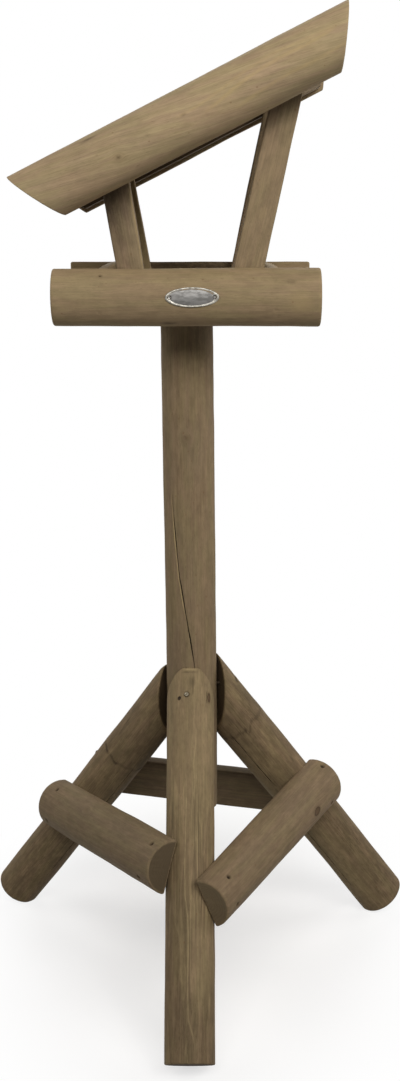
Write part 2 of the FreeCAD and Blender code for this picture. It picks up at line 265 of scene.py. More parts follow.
def makePiece(name, points, quads, tris, fields, replaced, materials):
    mesh = bpy.data.meshes.new(name)
    mesh.vertices.add(len(points))
    mesh.vertices.foreach_set("co", np.float32(points * mm + underPost).ravel())
    loops = np.concatenate([quads.ravel(), tris.ravel()]).astype(np.int32)
    starts = np.concatenate([np.arange(len(quads)) * 4,
                             len(quads) * 4 + np.arange(len(tris)) * 3]).astype(np.int32)
    mesh.loops.add(len(loops))
    mesh.loops.foreach_set("vertex_index", loops)
    mesh.polygons.add(len(starts))
    mesh.polygons.foreach_set("loop_start", starts)
    mesh.polygons.foreach_set("use_smooth", np.ones(len(starts), bool))
    mesh.update(calc_edges=True)
    for field, values in fields.items():
        made = mesh.attributes.new(field, "FLOAT_VECTOR", "POINT")
        made.data.foreach_set("vector", np.float32(values).ravel())
    mesh.validate()
    for material in materials:
        mesh.materials.append(material)
    piece = bpy.data.objects.new(name, mesh)
    bpy.context.scene.collection.objects.link(piece)
    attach(piece, "root")
    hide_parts(replaced)
    return piece


def paint(piece, chosen, material):
    # Give the chosen faces another of the piece's materials.
    for face in np.flatnonzero(chosen):
        piece.data.polygons[int(face)].material_index = material


# Wooden pieces: a grid of points round the section and along the grain, with a cap at
# each end. Each point also keeps where it was in the trunk, for the figure.

grainDraw = np.random.default_rng(7)
rimSteps = np.array([0.0, 0.13, 0.4])
rimInsets = 1 - np.sqrt(1 - (1 - rimSteps) ** 2)
crackGap, knotGap = 0.28, 0.9
dentFine = (3.5, 0.9)
headReach, headFacing = 3.2, 0.4
sawDepth = 0.12

# Fields of unevenness: a seed, and how long, wide and deep their swells are.
swells = dict(wave=(0, (160, 60, 60)), ripple=(1, (45, 9, 9)), saw=(3, (40, 5, 30)),
              whorlPath=(5, (400, 16, 16)), whorlPatch=(6, (30, 12, 12)))


def flatCut(s):
    return lambda u, v: s + 0 * np.asarray(u, float)


class Wood:
    # A piece in its own frame: s along the grain, u across and v outward, with p round
    # its section. Each cut is a length s, or gives one for a point (u, v).
    def __init__(self, section, origin, along, outward, cuts, look):
        self.outline = Outline(section)
        self.origin = origin
        self.axes = np.array([along, np.cross(outward, along), outward])
        self.cuts = [cut if callable(cut) else flatCut(cut) for cut in cuts]
        self.look = look
        self.ease = look.get("rimEase", 1.2)
        self.shift = grainDraw.uniform(-400, 400, 3)[0]
        self.pith = np.array(look.get("pith", grainDraw.uniform(-4, 4, 2)))
        self.seed = int(grainDraw.integers(1, 9999))

    def toLocal(self, point):
        return self.axes @ (point - self.origin)

    def toWorld(self, suv):
        return self.origin + suv @ self.axes

    def cutAt(self, end, uv):
        return self.cuts[end](uv[..., 0], uv[..., 1])

    def around(self, place):
        return self.outline.wrapped(self.p - place)

    def each(self, kind):
        return self.look.get(kind, [])

    def field(self, kind):
        seed, sizes = swells[kind]
        return wave(self.suv, sizes, self.seed + seed)

    def mark(self, kind, amount):
        self.marks[kind] = np.maximum(self.marks[kind], amount)

    def findDents(self):
        # Heads that sit in this piece's face make a small dent there.
        self.dents = []
        for item in fasteners:
            s, *uv = self.toLocal(item["top"])
            p, gap = self.outline.nearest(uv)
            facing = -(self.axes[1:] @ item["into"]) @ self.outline.normalAt(p)
            start, end = (cut(*uv) for cut in self.cuts)
            if gap < headReach and start + 1 < s < end - 1 and facing > headFacing:
                self.dents.append((s, p, item))

    def placeMarks(self):
        # A mark lies where its point "at" is, or at a length s and a u or a direction.
        for kind in ("knots", "cracks", "spots"):
            for mark in self.each(kind):
                if "at" in mark:
                    mark["s"], *uv = self.toLocal(mark["at"])
                    mark["p"] = self.outline.nearest(uv)[0]
                elif "u" in mark:
                    mark["p"] = self.outline.across(mark["u"])
                else:
                    mark["p"] = self.outline.toward(mark["toward"])

    def layGrid(self):
        outline, ease = self.outline, self.ease
        spacing = self.look.get("spacing", 2.0)
        knots, cracks = self.each("knots"), self.each("cracks")
        fine = [(crack["p"], max(2.5 * crack["width"], 1.0), crackGap) for crack in cracks]
        fine += [(knot["p"], knot["size"] * 0.8, knotGap) for knot in knots]
        fine += [(p, *dentFine) for _, p, _ in self.dents]
        fine += [(outline.toward(degrees), *rest) for degrees, *rest in self.each("fineBands")]
        self.columns = spread(outline.length, spacing, fine, outline)
        lows, highs = (self.cutAt(end, outline.at(self.columns)) for end in (0, 1))
        self.low = lows.min()
        self.longest = np.max(highs - lows)
        fine = [(knot["s"], knot["size"], 1.0) for knot in knots]
        fine += [(s, *dentFine) for s, _, _ in self.dents]
        fine += [(whorl["s"], whorl["sway"] + 5, 0.8) for whorl in self.each("whorls")]
        fine = [(s - self.low, *rest) for s, *rest in fine + self.each("fineLengths")]
        inner = spread(self.longest, spacing * 1.1, fine) / self.longest
        share = np.pad(inner, len(rimSteps), mode="edge")

        # Cracks that wander take the columns near them along.
        p = np.repeat(self.columns[None], len(share), 0)
        for crack in cracks:
            if "drift" in crack:
                places, drifts = np.array(crack["drift"], float).T
                shift = np.interp(self.low + share * self.longest, places, drifts)
                reach = crack.get("driftReach", outline.length / 2)
                pull = ramp(1 - np.abs(outline.wrapped(p - crack["p"])) / reach)
                p = p + shift[:, None] * pull
        normal = outline.normalAt(p)
        inset = np.concatenate([rimInsets, 0 * inner, rimInsets[::-1]]) * ease
        uv = outline.at(p) - normal * inset[:, None, None]
        low, high = self.cutAt(0, uv), self.cutAt(1, uv)
        s = low + ease + share[:, None] * (high - low - 2 * ease)
        for row, step in enumerate(rimSteps):
            s[row] = low[row] + step * ease
            s[-1 - row] = high[-1 - row] - step * ease

        # Caps: rings that shrink to the middle of the section.
        self.centre = np.array([0.0, outline.points[:, 1].mean()])
        self.reach = np.abs(outline.points - self.centre).max()
        self.endS = [float(cut(*self.centre)) for cut in self.cuts]
        rings = max(int(self.reach / (spacing * 1.3)), 3)
        shrink = np.linspace(1, 0, rings + 1)[1:-1, None, None]
        startCap = self.centre + (uv[0] - self.centre) * shrink[::-1]
        endCap = self.centre + (uv[-1] - self.centre) * shrink
        self.uv = np.concatenate([startCap, uv, endCap])
        self.s = np.concatenate([self.cutAt(0, startCap), s, self.cutAt(1, endCap)])
        self.suv = np.concatenate([self.s[..., None], self.uv], -1)
        self.capRows = len(shrink)
        more = (self.capRows, self.capRows)
        self.p = np.pad(p, (more, (0, 0)), mode="edge")
        self.normal = np.pad(normal, (more, (0, 0), (0, 0)), mode="edge")
        self.cap = np.repeat([-1.0, 0.0, 1.0], [self.capRows, len(s), self.capRows])[:, None]

    def addKnots(self):
        for knot in self.each("knots"):
            dp = self.around(knot["p"])
            far = np.hypot((self.s - knot["s"]) / knot.get("stretch", 1.3), dp)
            size = knot["size"]
            self.height += knot.get("rise", 0.5) * np.exp(-(far / size) ** 2)
            self.height -= knot.get("hollow", 0.35) * np.exp(-(far / (0.4 * size)) ** 4)
            self.mark("knot", ramp(1 - far / size) * knot.get("tone", 1.0))
            core = 0.6 * size
            self.bend -= dp * core ** 2 / (far ** 2 + 0.4 * core ** 2)

    def addCracks(self):
        for crack in self.each("cracks"):
            first, last = crack["run"]
            run = ramp((self.s - first) / (last - first))
            taper = np.sqrt(ramp(np.sin(run * math.pi) * 1.6))
            if "drift" in crack:
                off = self.outline.wrapped(self.columns - crack["p"])
            else:
                off = self.around(crack["p"])
            half = crack["width"] / 2 * taper * (1 + 0.25 * np.sin(self.s / 11.0))
            groove = ramp(1 - np.abs(off) / np.maximum(half, 0.02)) * (half > 0.03)
            self.height -= crack["depth"] * taper * groove ** 0.7
            self.mark("crack", ramp(groove * 1.6) * crack.get("tone", 1))
            if "paleFrom" in crack:
                lip = ramp(1 - np.abs(off + crack["width"]) / (0.9 * crack["width"]))
                lip = lip * taper * ramp((self.s - crack["paleFrom"]) / 20 + 0.5)
                self.mark("pale", lip)
                self.height += 0.35 * lip

    def addDentsAndSpots(self):
        for s, p, item in self.dents:
            far = np.hypot(self.s - s, self.around(p)) / item["hole"]
            self.height -= (item["sink"] + item["dent"]) * np.clip(1.5 - far, 0, 0.5) * 2
            # Round a head the wood is darkened, partly as nail stain and partly as painted shade
            # of its hole; the hole itself is painted near black as painted shade.
            self.mark("dark", ramp(1.7 - far) * item["stain"])
            self.mark("crack", ramp(1.6 - far) * item.get("open", 0.0))
        for spot in self.each("spots"):
            far = np.hypot((self.s - spot["s"]) / spot.get("stretch", 1.0),
                           self.around(spot["p"]))
            self.mark("pale" if spot.get("pale") else "dark",
                      ramp(1.4 - far / spot["size"]) * spot.get("tone", 1.0))

    def addStreaks(self):
        for streak in self.each("streaks"):
            places, degrees = np.array(streak["path"], float).T
            line = np.interp(self.s, places, [self.outline.toward(d) for d in degrees])
            line = line + streak.get("sway", 1.0) * np.sin(self.s / 23.0)
            taper = ramp((self.s - places[0]) / 12) * ramp((places[-1] - self.s) / 12)
            body = ramp(1.3 - np.abs(self.around(line)) / streak["width"])
            self.mark("dark" if streak.get("dark") else "pale",
                      body * taper * streak.get("tone", 1.0))

    def addWhorls(self):
        # A whorl is a swollen ring where branches once stood, darker above its edge.
        for whorl in self.each("whorls"):
            off = self.s - whorl["s"] - whorl["sway"] * self.field("whorlPath")
            self.height += whorl["rise"] * np.exp(-(off / 14) ** 2)
            patchy = np.clip(0.8 + 0.35 * self.field("whorlPatch"), 0.3, 1)
            edge = ramp(1.3 - np.abs(off) / whorl["width"]) * whorl["tone"]
            zone = ramp(off / 5) * ramp(1.4 - off / whorl["above"]) * whorl["shade"]
            self.mark("dark", np.maximum(edge, zone) * patchy)

    def shapeSurface(self):
        # Height of the surface over the plain section, and what marks it.
        self.height = self.look.get("wave", 0.3) * self.field("wave")
        self.height += self.look.get("ripple", 0.1) * self.field("ripple")
        self.marks = {kind: 0 * self.s for kind in ("knot", "crack", "pale", "dark")}
        self.bend = 0 * self.s
        self.addKnots()
        self.addCracks()
        self.addDentsAndSpots()
        self.addStreaks()
        self.addWhorls()

    def swayed(self, uv, s, girth=0.0):
        # Taper, bow and lean of the piece as it grew, in millimetres.
        t = (np.asarray(s)[..., None] - self.low) / self.longest
        grown = 1 + (girth + self.look.get("taper", 0.0) * (t - 0.5)) / self.reach
        bow = np.array(self.look.get("bow", (0, 0))) * np.sin(ramp(t) * math.pi)
        lean = np.array([self.look.get(key, (0, 0)) for key in ("leanU", "leanV")])
        return uv * grown + bow + lean[:, 0] * (1 - t) + lean[:, 1] * t

    def points(self):
        lift = self.normal * (self.height * (self.cap == 0))[..., None]
        uv = self.swayed(self.uv, self.s, self.look.get("girth", 0.0)) + lift
        sawn = sawDepth * self.field("saw") - 0.8 * self.marks["crack"]
        s = (self.s + sawn * self.cap)[..., None]
        grid = self.toWorld(np.concatenate([s, uv], -1)).reshape(-1, 3)
        ends = [self.toWorld(np.array([s, *self.swayed(self.centre, s)])) for s in self.endS]
        return np.concatenate([grid, ends])

    def fields(self):
        # What the finish needs: place in the trunk, marks, and tints.
        tangent = np.stack([-self.normal[..., 1], self.normal[..., 0]], -1)
        trunk = np.concatenate([self.s[..., None] + self.shift, self.uv - self.pith], -1)
        trunk[..., 1:] += tangent * self.bend[..., None]
        cut = np.abs(self.cap) + 0 * self.s
        cut[[self.capRows, -self.capRows - 1]] = 0.8
        outline = self.outline
        bend = np.interp(np.mod(self.p, outline.length), outline.p, outline.bend)
        toRim = np.minimum(self.s - self.cutAt(0, self.uv), self.cutAt(1, self.uv) - self.s)
        wear = np.maximum(ramp(bend * 1.2 - 0.15),
                          ramp(1 - np.abs(toRim) / (1.6 * self.ease)) * (self.cap == 0))
        if "capPale" in self.look:
            self.mark("pale", self.look["capPale"](self.uv[..., 1]) * cut)
        marks = self.marks
        fields = {"trunk": trunk, "marks": np.stack([marks["knot"], marks["crack"], cut], -1),
                  "tints": np.stack([marks["pale"], marks["dark"], wear], -1)}
        for key, values in fields.items():
            fields[key] = np.concatenate([values.reshape(-1, 3), values[[0, -1]].mean(1)])
        fields["trunk"][-2:] = [[self.shift + s, *(self.centre - self.pith)] for s in self.endS]
        return fields

    def seatHeads(self):
        # The heads follow the face that they sit in.
        for s, p, item in self.dents:
            row = np.argmin(np.abs(self.s[:, 0] - s) + 1e9 * np.abs(self.cap[:, 0]))
            column = np.argmin(np.abs(self.around(p)[row]))
            lift = self.outline.normalAt(p) @ self.axes[1:]
            face = self.toWorld(np.array([s, *self.swayed(self.outline.at(p), s)]))
            item["seat"] = face + lift * (self.height[row, column] + item["dent"])
            item["facing"] = -lift


def makeWood(name, node, finish, section, origin, along, outward, cuts, look):
    wood = Wood(section, origin, along, outward, cuts, look)
    wood.findDents()
    wood.placeMarks()
    wood.layGrid()
    wood.shapeSurface()
    quads, tris = tubeFaces(*wood.s.shape)
    makePiece(name, wood.points(), quads, tris, wood.fields(), node, [woods[finish]])
    wood.seatHeads()


# Materials. Each finish puts its own values into the shared groups.

def tone(red, green, blue):
    # A colour as it looks on a screen, 0 to 255, in the renderer's own light units.
    channels = [value / 255 for value in (red, green, blue)]
    return [c / 12.92 if c <= 0.04045 else ((c + 0.055) / 1.055) ** 2.4 for c in channels] + [1]


class Net:
    # A node tree with short ways to add to it. What goes in is a value or a socket.
    def __init__(self, tree):
        self.tree = tree

    def feed(self, socket, value):
        if isinstance(value, bpy.types.NodeSocket):
            self.tree.links.new(value, socket)
        else:
            socket.default_value = value

    def put(self, kind, inputs=None, **settings):
        node = self.tree.nodes.new("ShaderNode" + kind)
        for key, value in settings.items():
            setattr(node, key, value)
        for key, value in (inputs or {}).items():
            self.feed(node.inputs[key], value)
        return node.outputs

    def reckon(self, operation, *terms, clamp=False):
        return self.put("Math", dict(enumerate(terms)), operation=operation, use_clamp=clamp)[0]

    def times(self, first, second):
        return self.reckon("MULTIPLY", first, second)

    def timesPlus(self, first, second, third, clamp=False):
        return self.reckon("MULTIPLY_ADD", first, second, third, clamp=clamp)

    def scaled(self, vector, factors):
        return self.put("VectorMath", {0: vector, 1: factors}, operation="MULTIPLY")[0]

    def split(self, vector):
        return self.put("SeparateXYZ", {0: vector})

    def length(self, vector):
        return self.put("VectorMath", {0: vector}, operation="LENGTH")["Value"]

    def noise(self, vector, sizes, detail=2.0, rough=0.5):
        # Noise whose patches are about this long, wide and deep, in millimetres.
        place = self.scaled(vector, [1 / size for size in sizes])
        return self.put("TexNoise", {"Vector": place, "Scale": 1.0, "Detail": detail,
                                     "Roughness": rough})["Fac"]

    def between(self, value, low, high, toLow=0.0, toHigh=1.0):
        # Value carried from one range to another, smoothly and no further.
        return self.put("MapRange", {"Value": value, "From Min": low, "From Max": high,
                                     "To Min": toLow, "To Max": toHigh},
                        interpolation_type="SMOOTHSTEP")[0]

    def mix(self, share, first, second, way="MIX"):
        return self.put("Mix", {0: share, 6: first, 7: second}, data_type="RGBA",
                        blend_type=way)[2]

    def finish(self, colour, rough, height, strength, depth, gloss, metallic=0.0):
        bump = self.put("Bump", {"Height": height, "Strength": strength, "Distance": depth * mm})
        shader = self.put("BsdfPrincipled", {
            "Base Color": colour, "Roughness": rough, "Normal": bump[0],
            "Specular IOR Level": gloss, "Metallic": metallic})
        self.put("OutputMaterial", {"Surface": shader[0]})


def newGroup(name, inputs, outputs):
    # Each kind of socket with its names.
    tree = bpy.data.node_groups.new(name, "ShaderNodeTree")
    for way, sockets in (("INPUT", inputs), ("OUTPUT", outputs)):
        for kind, labels in sockets.items():
            for label in labels:
                tree.interface.new_socket(label, in_out=way, socket_type="NodeSocket" + kind)
    given = tree.nodes.new("NodeGroupInput").outputs
    return Net(tree), given, tree.nodes.new("NodeGroupOutput").inputs


def newMaterial(name):
    material = bpy.data.materials.new(name)
    material.use_nodes = True
    material.node_tree.nodes.clear()
    return material, Net(material.node_tree)


figureParts = ["Ring", "Fibre", "Streak", "Cloud", "Tint", "Mottle", "Pore", "Dot"]


def makeFigureGroup():
    # Growth rings, fibres, clouds, pores and resin dots by the place in the trunk.
    net, given, result = newGroup(
        "trunkFigure", {"Vector": ["Trunk"], "Float": ["Ring Gap", "Wander", "Spiral"]},
        {"Float": figureParts})
    turn = net.times(net.split(given["Trunk"])[0], given["Spiral"])
    trunk = net.put("VectorRotate", {"Vector": given["Trunk"], "Angle": turn},
                    rotation_type="X_AXIS")[0]
    radius = net.length(net.scaled(trunk, (0.0, 1.0, 1.0)))
    slow = net.reckon("SUBTRACT", net.noise(trunk, (190, 26, 26), 2.0, 0.45), 0.5)
    quick = net.reckon("SUBTRACT", net.noise(trunk, (45, 9, 9), 1.0), 0.5)
    sway = net.timesPlus(quick, 0.18, slow)
    path = net.timesPlus(sway, given["Wander"], radius)
    phase = net.reckon("FRACT", net.reckon("DIVIDE", path, given["Ring Gap"]))
    fall = net.between(phase, 0.9, 1.0, 1.0, 0.0)
    net.feed(result["Ring"], net.times(net.reckon("POWER", phase, 2.6), fall))
    for label, sizes, detail, rough in (("Fibre", (34, 1.1, 1.1), 3.0, 0.6),
                                        ("Streak", (150, 4.2, 4.2), 3.0, 0.6),
                                        ("Cloud", (90, 34, 34), 2.0, 0.55),
                                        ("Tint", (70, 11, 11), 3.0, 0.6),
                                        ("Mottle", (17, 8, 8), 3.0, 0.65)):
        net.feed(result[label], net.noise(trunk, sizes, detail, rough))
    pore = net.noise(trunk, (7, 0.6, 0.6), 1.0)
    net.feed(result["Pore"], net.between(pore, 0.62, 0.72))
    dots = net.put("TexVoronoi", {"Vector": net.scaled(trunk, (1 / 19, 1 / 13, 1 / 13)),
                                  "Scale": 1.0})["Distance"]
    net.feed(result["Dot"], net.between(dots, 0.04, 0.085, 1.0, 0.0))
    return net.tree


def makeToneGroup():
    # Colour of a clean face from its figure.
    net, given, result = newGroup(
        "woodTone", {"Float": figureParts + [part + " Share" for part in figureParts],
                     "Color": ["Early", "Late", "Stain"]}, {"Color": ["Color"]})
    colour = net.mix(net.times(given["Ring"], given["Ring Share"]), given["Early"], given["Late"])
    cloud = net.times(net.between(given["Cloud"], 0.4, 0.68), given["Cloud Share"])
    colour = net.mix(cloud, colour, given["Stain"])
    pinkish = (1.0, 0.9, 0.87, 1.0)
    yellowish = (0.97, 0.98, 0.8, 1.0)
    tint = net.mix(net.between(given["Tint"], 0.38, 0.62), pinkish, yellowish)
    colour = net.mix(given["Tint Share"], colour, tint, "MULTIPLY")
    for part, reach in (("Fibre", 0.2), ("Mottle", 0.16), ("Streak", 0.18)):
        depth = net.between(given[part], 0.5 - reach, 0.5 + reach, -0.5, 0.5)
        gain = net.timesPlus(depth, given[part + " Share"], 1.0)
        grey = net.put("CombineColor", {0: gain, 1: gain, 2: gain})[0]
        colour = net.mix(1.0, colour, grey, "MULTIPLY")
    for part, darker in (("Pore", tone(62, 49, 34)), ("Dot", tone(104, 64, 38))):
        colour = net.mix(net.times(given[part], given[part + " Share"]), colour, darker)
    net.feed(result["Color"], colour)
    return net.tree


def makeMarksGroup():
    # Knots, cracks, sawn ends, scuffs and worn edges over a clean face.
    net, given, result = newGroup(
        "woodMarks",
        {"Color": ["Color", "Knot Tone", "End Tone", "Pale Tone", "Dark Tone"],
         "Vector": ["Trunk", "Marks", "Tints"],
         "Float": ["Ring", "Fibre", "End Rings", "Wear"]},
        {"Color": ["Color"], "Float": ["Roughness", "Height"]})
    knot, crack, cut = net.split(given["Marks"])
    pale, dark, worn = net.split(given["Tints"])
    knotTone, darkTone, paleTone = (given[part + " Tone"] for part in ("Knot", "Dark", "Pale"))
    broken = net.noise(given["Trunk"], (7, 3, 3), 3.0, 0.65)
    pale = net.times(pale, net.between(broken, 0.25, 0.6, 0.45, 1.0))
    colour = net.mix(pale, given["Color"], paleTone)

    # A knot is a dark bark ring round a brown heart with fine rings of its own.
    ringed = net.reckon("SINE", net.times(knot, 34.0))
    heart = net.between(net.timesPlus(broken, 0.25, knot), 0.38, 0.62)
    heart = net.times(heart, net.timesPlus(ringed, 0.12, 0.8))
    halo = net.times(net.between(knot, 0.05, 0.45), 0.35)
    colour = net.mix(heart, net.mix(halo, colour, knotTone), knotTone)
    bark = net.reckon("SUBTRACT", net.between(knot, 0.36, 0.46), net.between(knot, 0.5, 0.6),
                      clamp=True)
    colour = net.mix(net.times(bark, 0.55), colour, darkTone)

    # Sawn ends show their rings and fine checks from the middle outward.
    _, y, z = net.split(given["Trunk"])
    fan = net.put("CombineXYZ", {0: net.times(net.reckon("ARCTAN2", z, y), 5.0)})[0]
    checks = net.between(net.noise(fan, (1, 1, 1), 4.0, 0.7), 0.62, 0.7, 0.0, 0.55)
    endTone = net.mix(net.times(given["Ring"], given["End Rings"]), given["End Tone"], darkTone)
    endTone = net.mix(checks, endTone, darkTone)
    endTone = net.mix(net.times(pale, 0.9), endTone, paleTone)
    cut = net.between(cut, 0.55, 0.95)
    colour = net.mix(cut, colour, endTone)

    worn = net.times(net.times(worn, given["Wear"]), net.between(broken, 0.35, 0.65))
    colour = net.mix(worn, colour, paleTone)
    dark = net.times(dark, net.between(broken, 0.2, 0.6, 0.6, 1.0))
    colour = net.mix(dark, colour, darkTone)
    crack = net.between(crack, 0.1, 0.6)
    net.feed(result["Color"], net.mix(crack, colour, tone(24, 18, 12)))

    rough = net.timesPlus(cut, 0.12, net.timesPlus(given["Fibre"], 0.18, 0.6))
    net.feed(result["Roughness"], net.timesPlus(crack, 0.3, rough, clamp=True))
    height = net.timesPlus(given["Ring"], 0.3, given["Fibre"])
    net.feed(result["Height"], net.timesPlus(broken, 0.25, height))
    return net.tree


figureGroup = makeFigureGroup()
toneGroup = makeToneGroup()
marksGroup = makeMarksGroup()
usualWood = dict(knot=(84, 64, 44), end=(86, 71, 52), pale=(158, 138, 100), dark=(46, 36, 26),
                 ring=0.35, fibre=0.22, streak=0.16, cloud=0.35, tint=0.45, mottle=0.14,
                 pore=0.3, dot=0.35, endRings=0.5, wear=0.25, spiral=0.0)
finishes = {
    "logWood": dict(early=(163, 143, 113), late=(142, 121, 90), stain=(151, 135, 108),
                    pale=(184, 158, 109), end=(110, 90, 64), spiral=-0.005, tint=0.55,
                    fibre=0.18, mottle=0.1, ring=0.26, pore=0.2),
    "railWood": dict(early=(147, 128, 99), late=(131, 113, 84), stain=(140, 124, 96),
                     pale=(164, 141, 99), end=(106, 88, 61), ring=0.2, fibre=0.14,
                     streak=0.1, cloud=0.25, pore=0.2),
    "postWood": dict(early=(132, 114, 88), late=(112, 94, 70), stain=(119, 104, 84),
                     pale=(172, 150, 108), fibre=0.18),
    "legWood": dict(early=(116, 99, 75), late=(158, 138, 105), stain=(108, 93, 72),
                    pale=(166, 146, 108), end=(70, 57, 41), pore=0.4, ring=0.5, fibre=0.3,
                    mottle=0.2),
    "sideLegWood": dict(early=(116, 99, 75), late=(154, 134, 102), stain=(108, 93, 72),
                        pale=(166, 146, 108), end=(70, 57, 41), pore=0.4, ring=0.28,
                        fibre=0.36, streak=0.14, mottle=0.3),
    "braceWood": dict(early=(127, 109, 85), late=(107, 91, 69), stain=(114, 99, 79),
                      end=(112, 97, 74), endRings=0.25, fibre=0.2, mottle=0.18),
    "darkBraceWood": dict(early=(118, 102, 79), late=(100, 85, 65), stain=(106, 93, 74),
                          end=(87, 74, 56), endRings=0.12, wear=0.1, fibre=0.2,
                          mottle=0.18),
    "battenWood": dict(early=(134, 116, 92), late=(115, 97, 74), stain=(124, 108, 88),
                       streak=0.1, mottle=0.22),
    # Rafter wood is darker than the rest, as painted shade under the roof; its pale tone paints
    # light on the rafters' ends.
    "rafterWood": dict(early=(92, 78, 59), late=(78, 64, 47), stain=(84, 71, 54),
                       pale=(168, 150, 124), end=(84, 70, 52), wear=0.0),
    "deckWood": dict(early=(130, 112, 86), late=(109, 91, 66), stain=(114, 99, 77)),
}


def woodMaterial(name):
    look = {**usualWood, **finishes[name]}
    material, net = newMaterial(name)
    trunk, marks, tints = (net.put("Attribute", attribute_name=field)["Vector"]
                           for field in ("trunk", "marks", "tints"))
    figure = net.put("Group", {"Trunk": trunk, "Ring Gap": 3.4, "Wander": 16.0,
                               "Spiral": look["spiral"]}, node_tree=figureGroup)
    parts = {part: figure[part] for part in figureParts}
    shares = {part + " Share": look[part.lower()] for part in figureParts}
    tones = {part: tone(*look[part.lower()]) for part in ("Early", "Late", "Stain")}
    clean = net.put("Group", {**parts, **shares, **tones}, node_tree=toneGroup)[0]
    tones = {part + " Tone": tone(*look[part.lower()])
             for part in ("Knot", "End", "Pale", "Dark")}
    marked = net.put("Group", {"Color": clean, "Trunk": trunk, "Marks": marks, "Tints": tints,
                               "Ring": figure["Ring"], "Fibre": figure["Fibre"],
                               "End Rings": look["endRings"], "Wear": look["wear"], **tones},
                     node_tree=marksGroup)
    net.finish(marked["Color"], marked["Roughness"], marked["Height"], 0.35, 0.35, 0.1)
    return material


woods = {name: woodMaterial(name) for name in finishes}


def metalMaterial(name, clean, tarnish, patch=(2.5, 2.5, 2.5), smooth=0.38, rough=0.72,
                  bump=0.06, gloss=0.5, metallic=0.9):
    # Dull metal with patches of tarnish and fine scratches.
    material, net = newMaterial(name)
    place = net.scaled(net.put("TexCoord")["Object"], (1000.0, 1000.0, 1000.0))
    grit = net.noise(place, (0.5, 0.5, 0.5), 2.0, 0.6)
    share = net.between(net.noise(place, patch, 3.0, 0.6), 0.42, 0.62)
    uneven = net.between(net.timesPlus(share, 0.4, grit), 0.2, 1.1, smooth, rough)
    net.finish(net.mix(share, tone(*clean), tone(*tarnish)), uneven, grit, 0.4, bump, gloss,
               metallic)
    return material


metalLooks = {
    # Dark dull nail metal; at the bottom of deep holes and in the ring round the plate's pins it
    # also stands as painted shade.
    "oldNail": dict(clean=(64, 53, 41), tarnish=(38, 30, 22), gloss=0.1, metallic=0.0,
                    smooth=0.7, rough=0.95),
    "stainedNail": dict(clean=(134, 106, 80), tarnish=(108, 82, 60), metallic=0.2,
                        rough=0.85),
    "brightNail": dict(clean=(120, 112, 96), tarnish=(86, 78, 64), smooth=0.45),
    "zincScrew": dict(clean=(170, 160, 128), tarnish=(116, 106, 84), smooth=0.3),
    "plateField": dict(clean=(112, 110, 107), tarnish=(96, 94, 91), patch=(9.0, 9.0, 4.0),
                       smooth=0.45, rough=0.6, bump=0.03, metallic=1.0),
    "plateRim": dict(clean=(166, 162, 152), tarnish=(124, 120, 112), patch=(6.0, 6.0, 6.0),
                     smooth=0.35, rough=0.5, bump=0.015, metallic=1.0),
}
metals = {name: metalMaterial(name, **look) for name, look in metalLooks.items()}
print("materials made:", len(woods) + len(metals))


# Post.

post = dict(radius=31.5, bottom=210.0, top=861.0)
postLook = dict(
    leanU=(-1.5, 1.0), bow=(-0.4, 0.3), wave=0.12,
    knots=[dict(at=(-1.7, -31.5, 695.4), size=9, stretch=1.2, rise=0.3, hollow=0.15,
                tone=0.36),
           dict(s=250, toward=250, size=12), dict(s=560, toward=330, size=9),
           dict(s=120, toward=200, size=10)],
    cracks=[
        # The long drying crack on the front wanders from left down to the middle.
        dict(toward=90, run=(185, 416), width=1.5, depth=2.6, paleFrom=268,
             drift=[(197, 4.6), (232, -0.5), (268, -6.2), (301, -11.4), (308, -13.0),
                    (352, -17.2), (403, -21.4)]),
        dict(toward=265, run=(330, 620), width=1.6, depth=3.0),
        dict(toward=350, run=(30, 240), width=1.0, depth=2.0)])
makeWood("post_pole", "post", "postWood", roundOutline(post["radius"]),
         post["bottom"] * up, up, -back, (0.0, post["top"] - post["bottom"]), postLook)


# Legs, cut upright where they lean on the post, with a trimmed tip and a square foot.

def fineStreaks(seed, count, span, directions, lengths):
    # Fine pale and dark fibres: where they lie along the leg and round it, in degrees.
    draw = np.random.default_rng(seed)
    made = []
    for _ in range(count):
        length = draw.uniform(*lengths)
        start = draw.uniform(span[0], span[1] - length)
        degrees = draw.uniform(*directions)
        lean = draw.uniform(-3.0, 3.0)
        made.append(dict(path=[(start, degrees), (start + length, degrees + lean)],
                         width=draw.uniform(0.5, 0.95), tone=draw.uniform(0.2, 0.5),
                         sway=draw.uniform(0.1, 0.6), dark=draw.uniform() < 0.45))
    return made


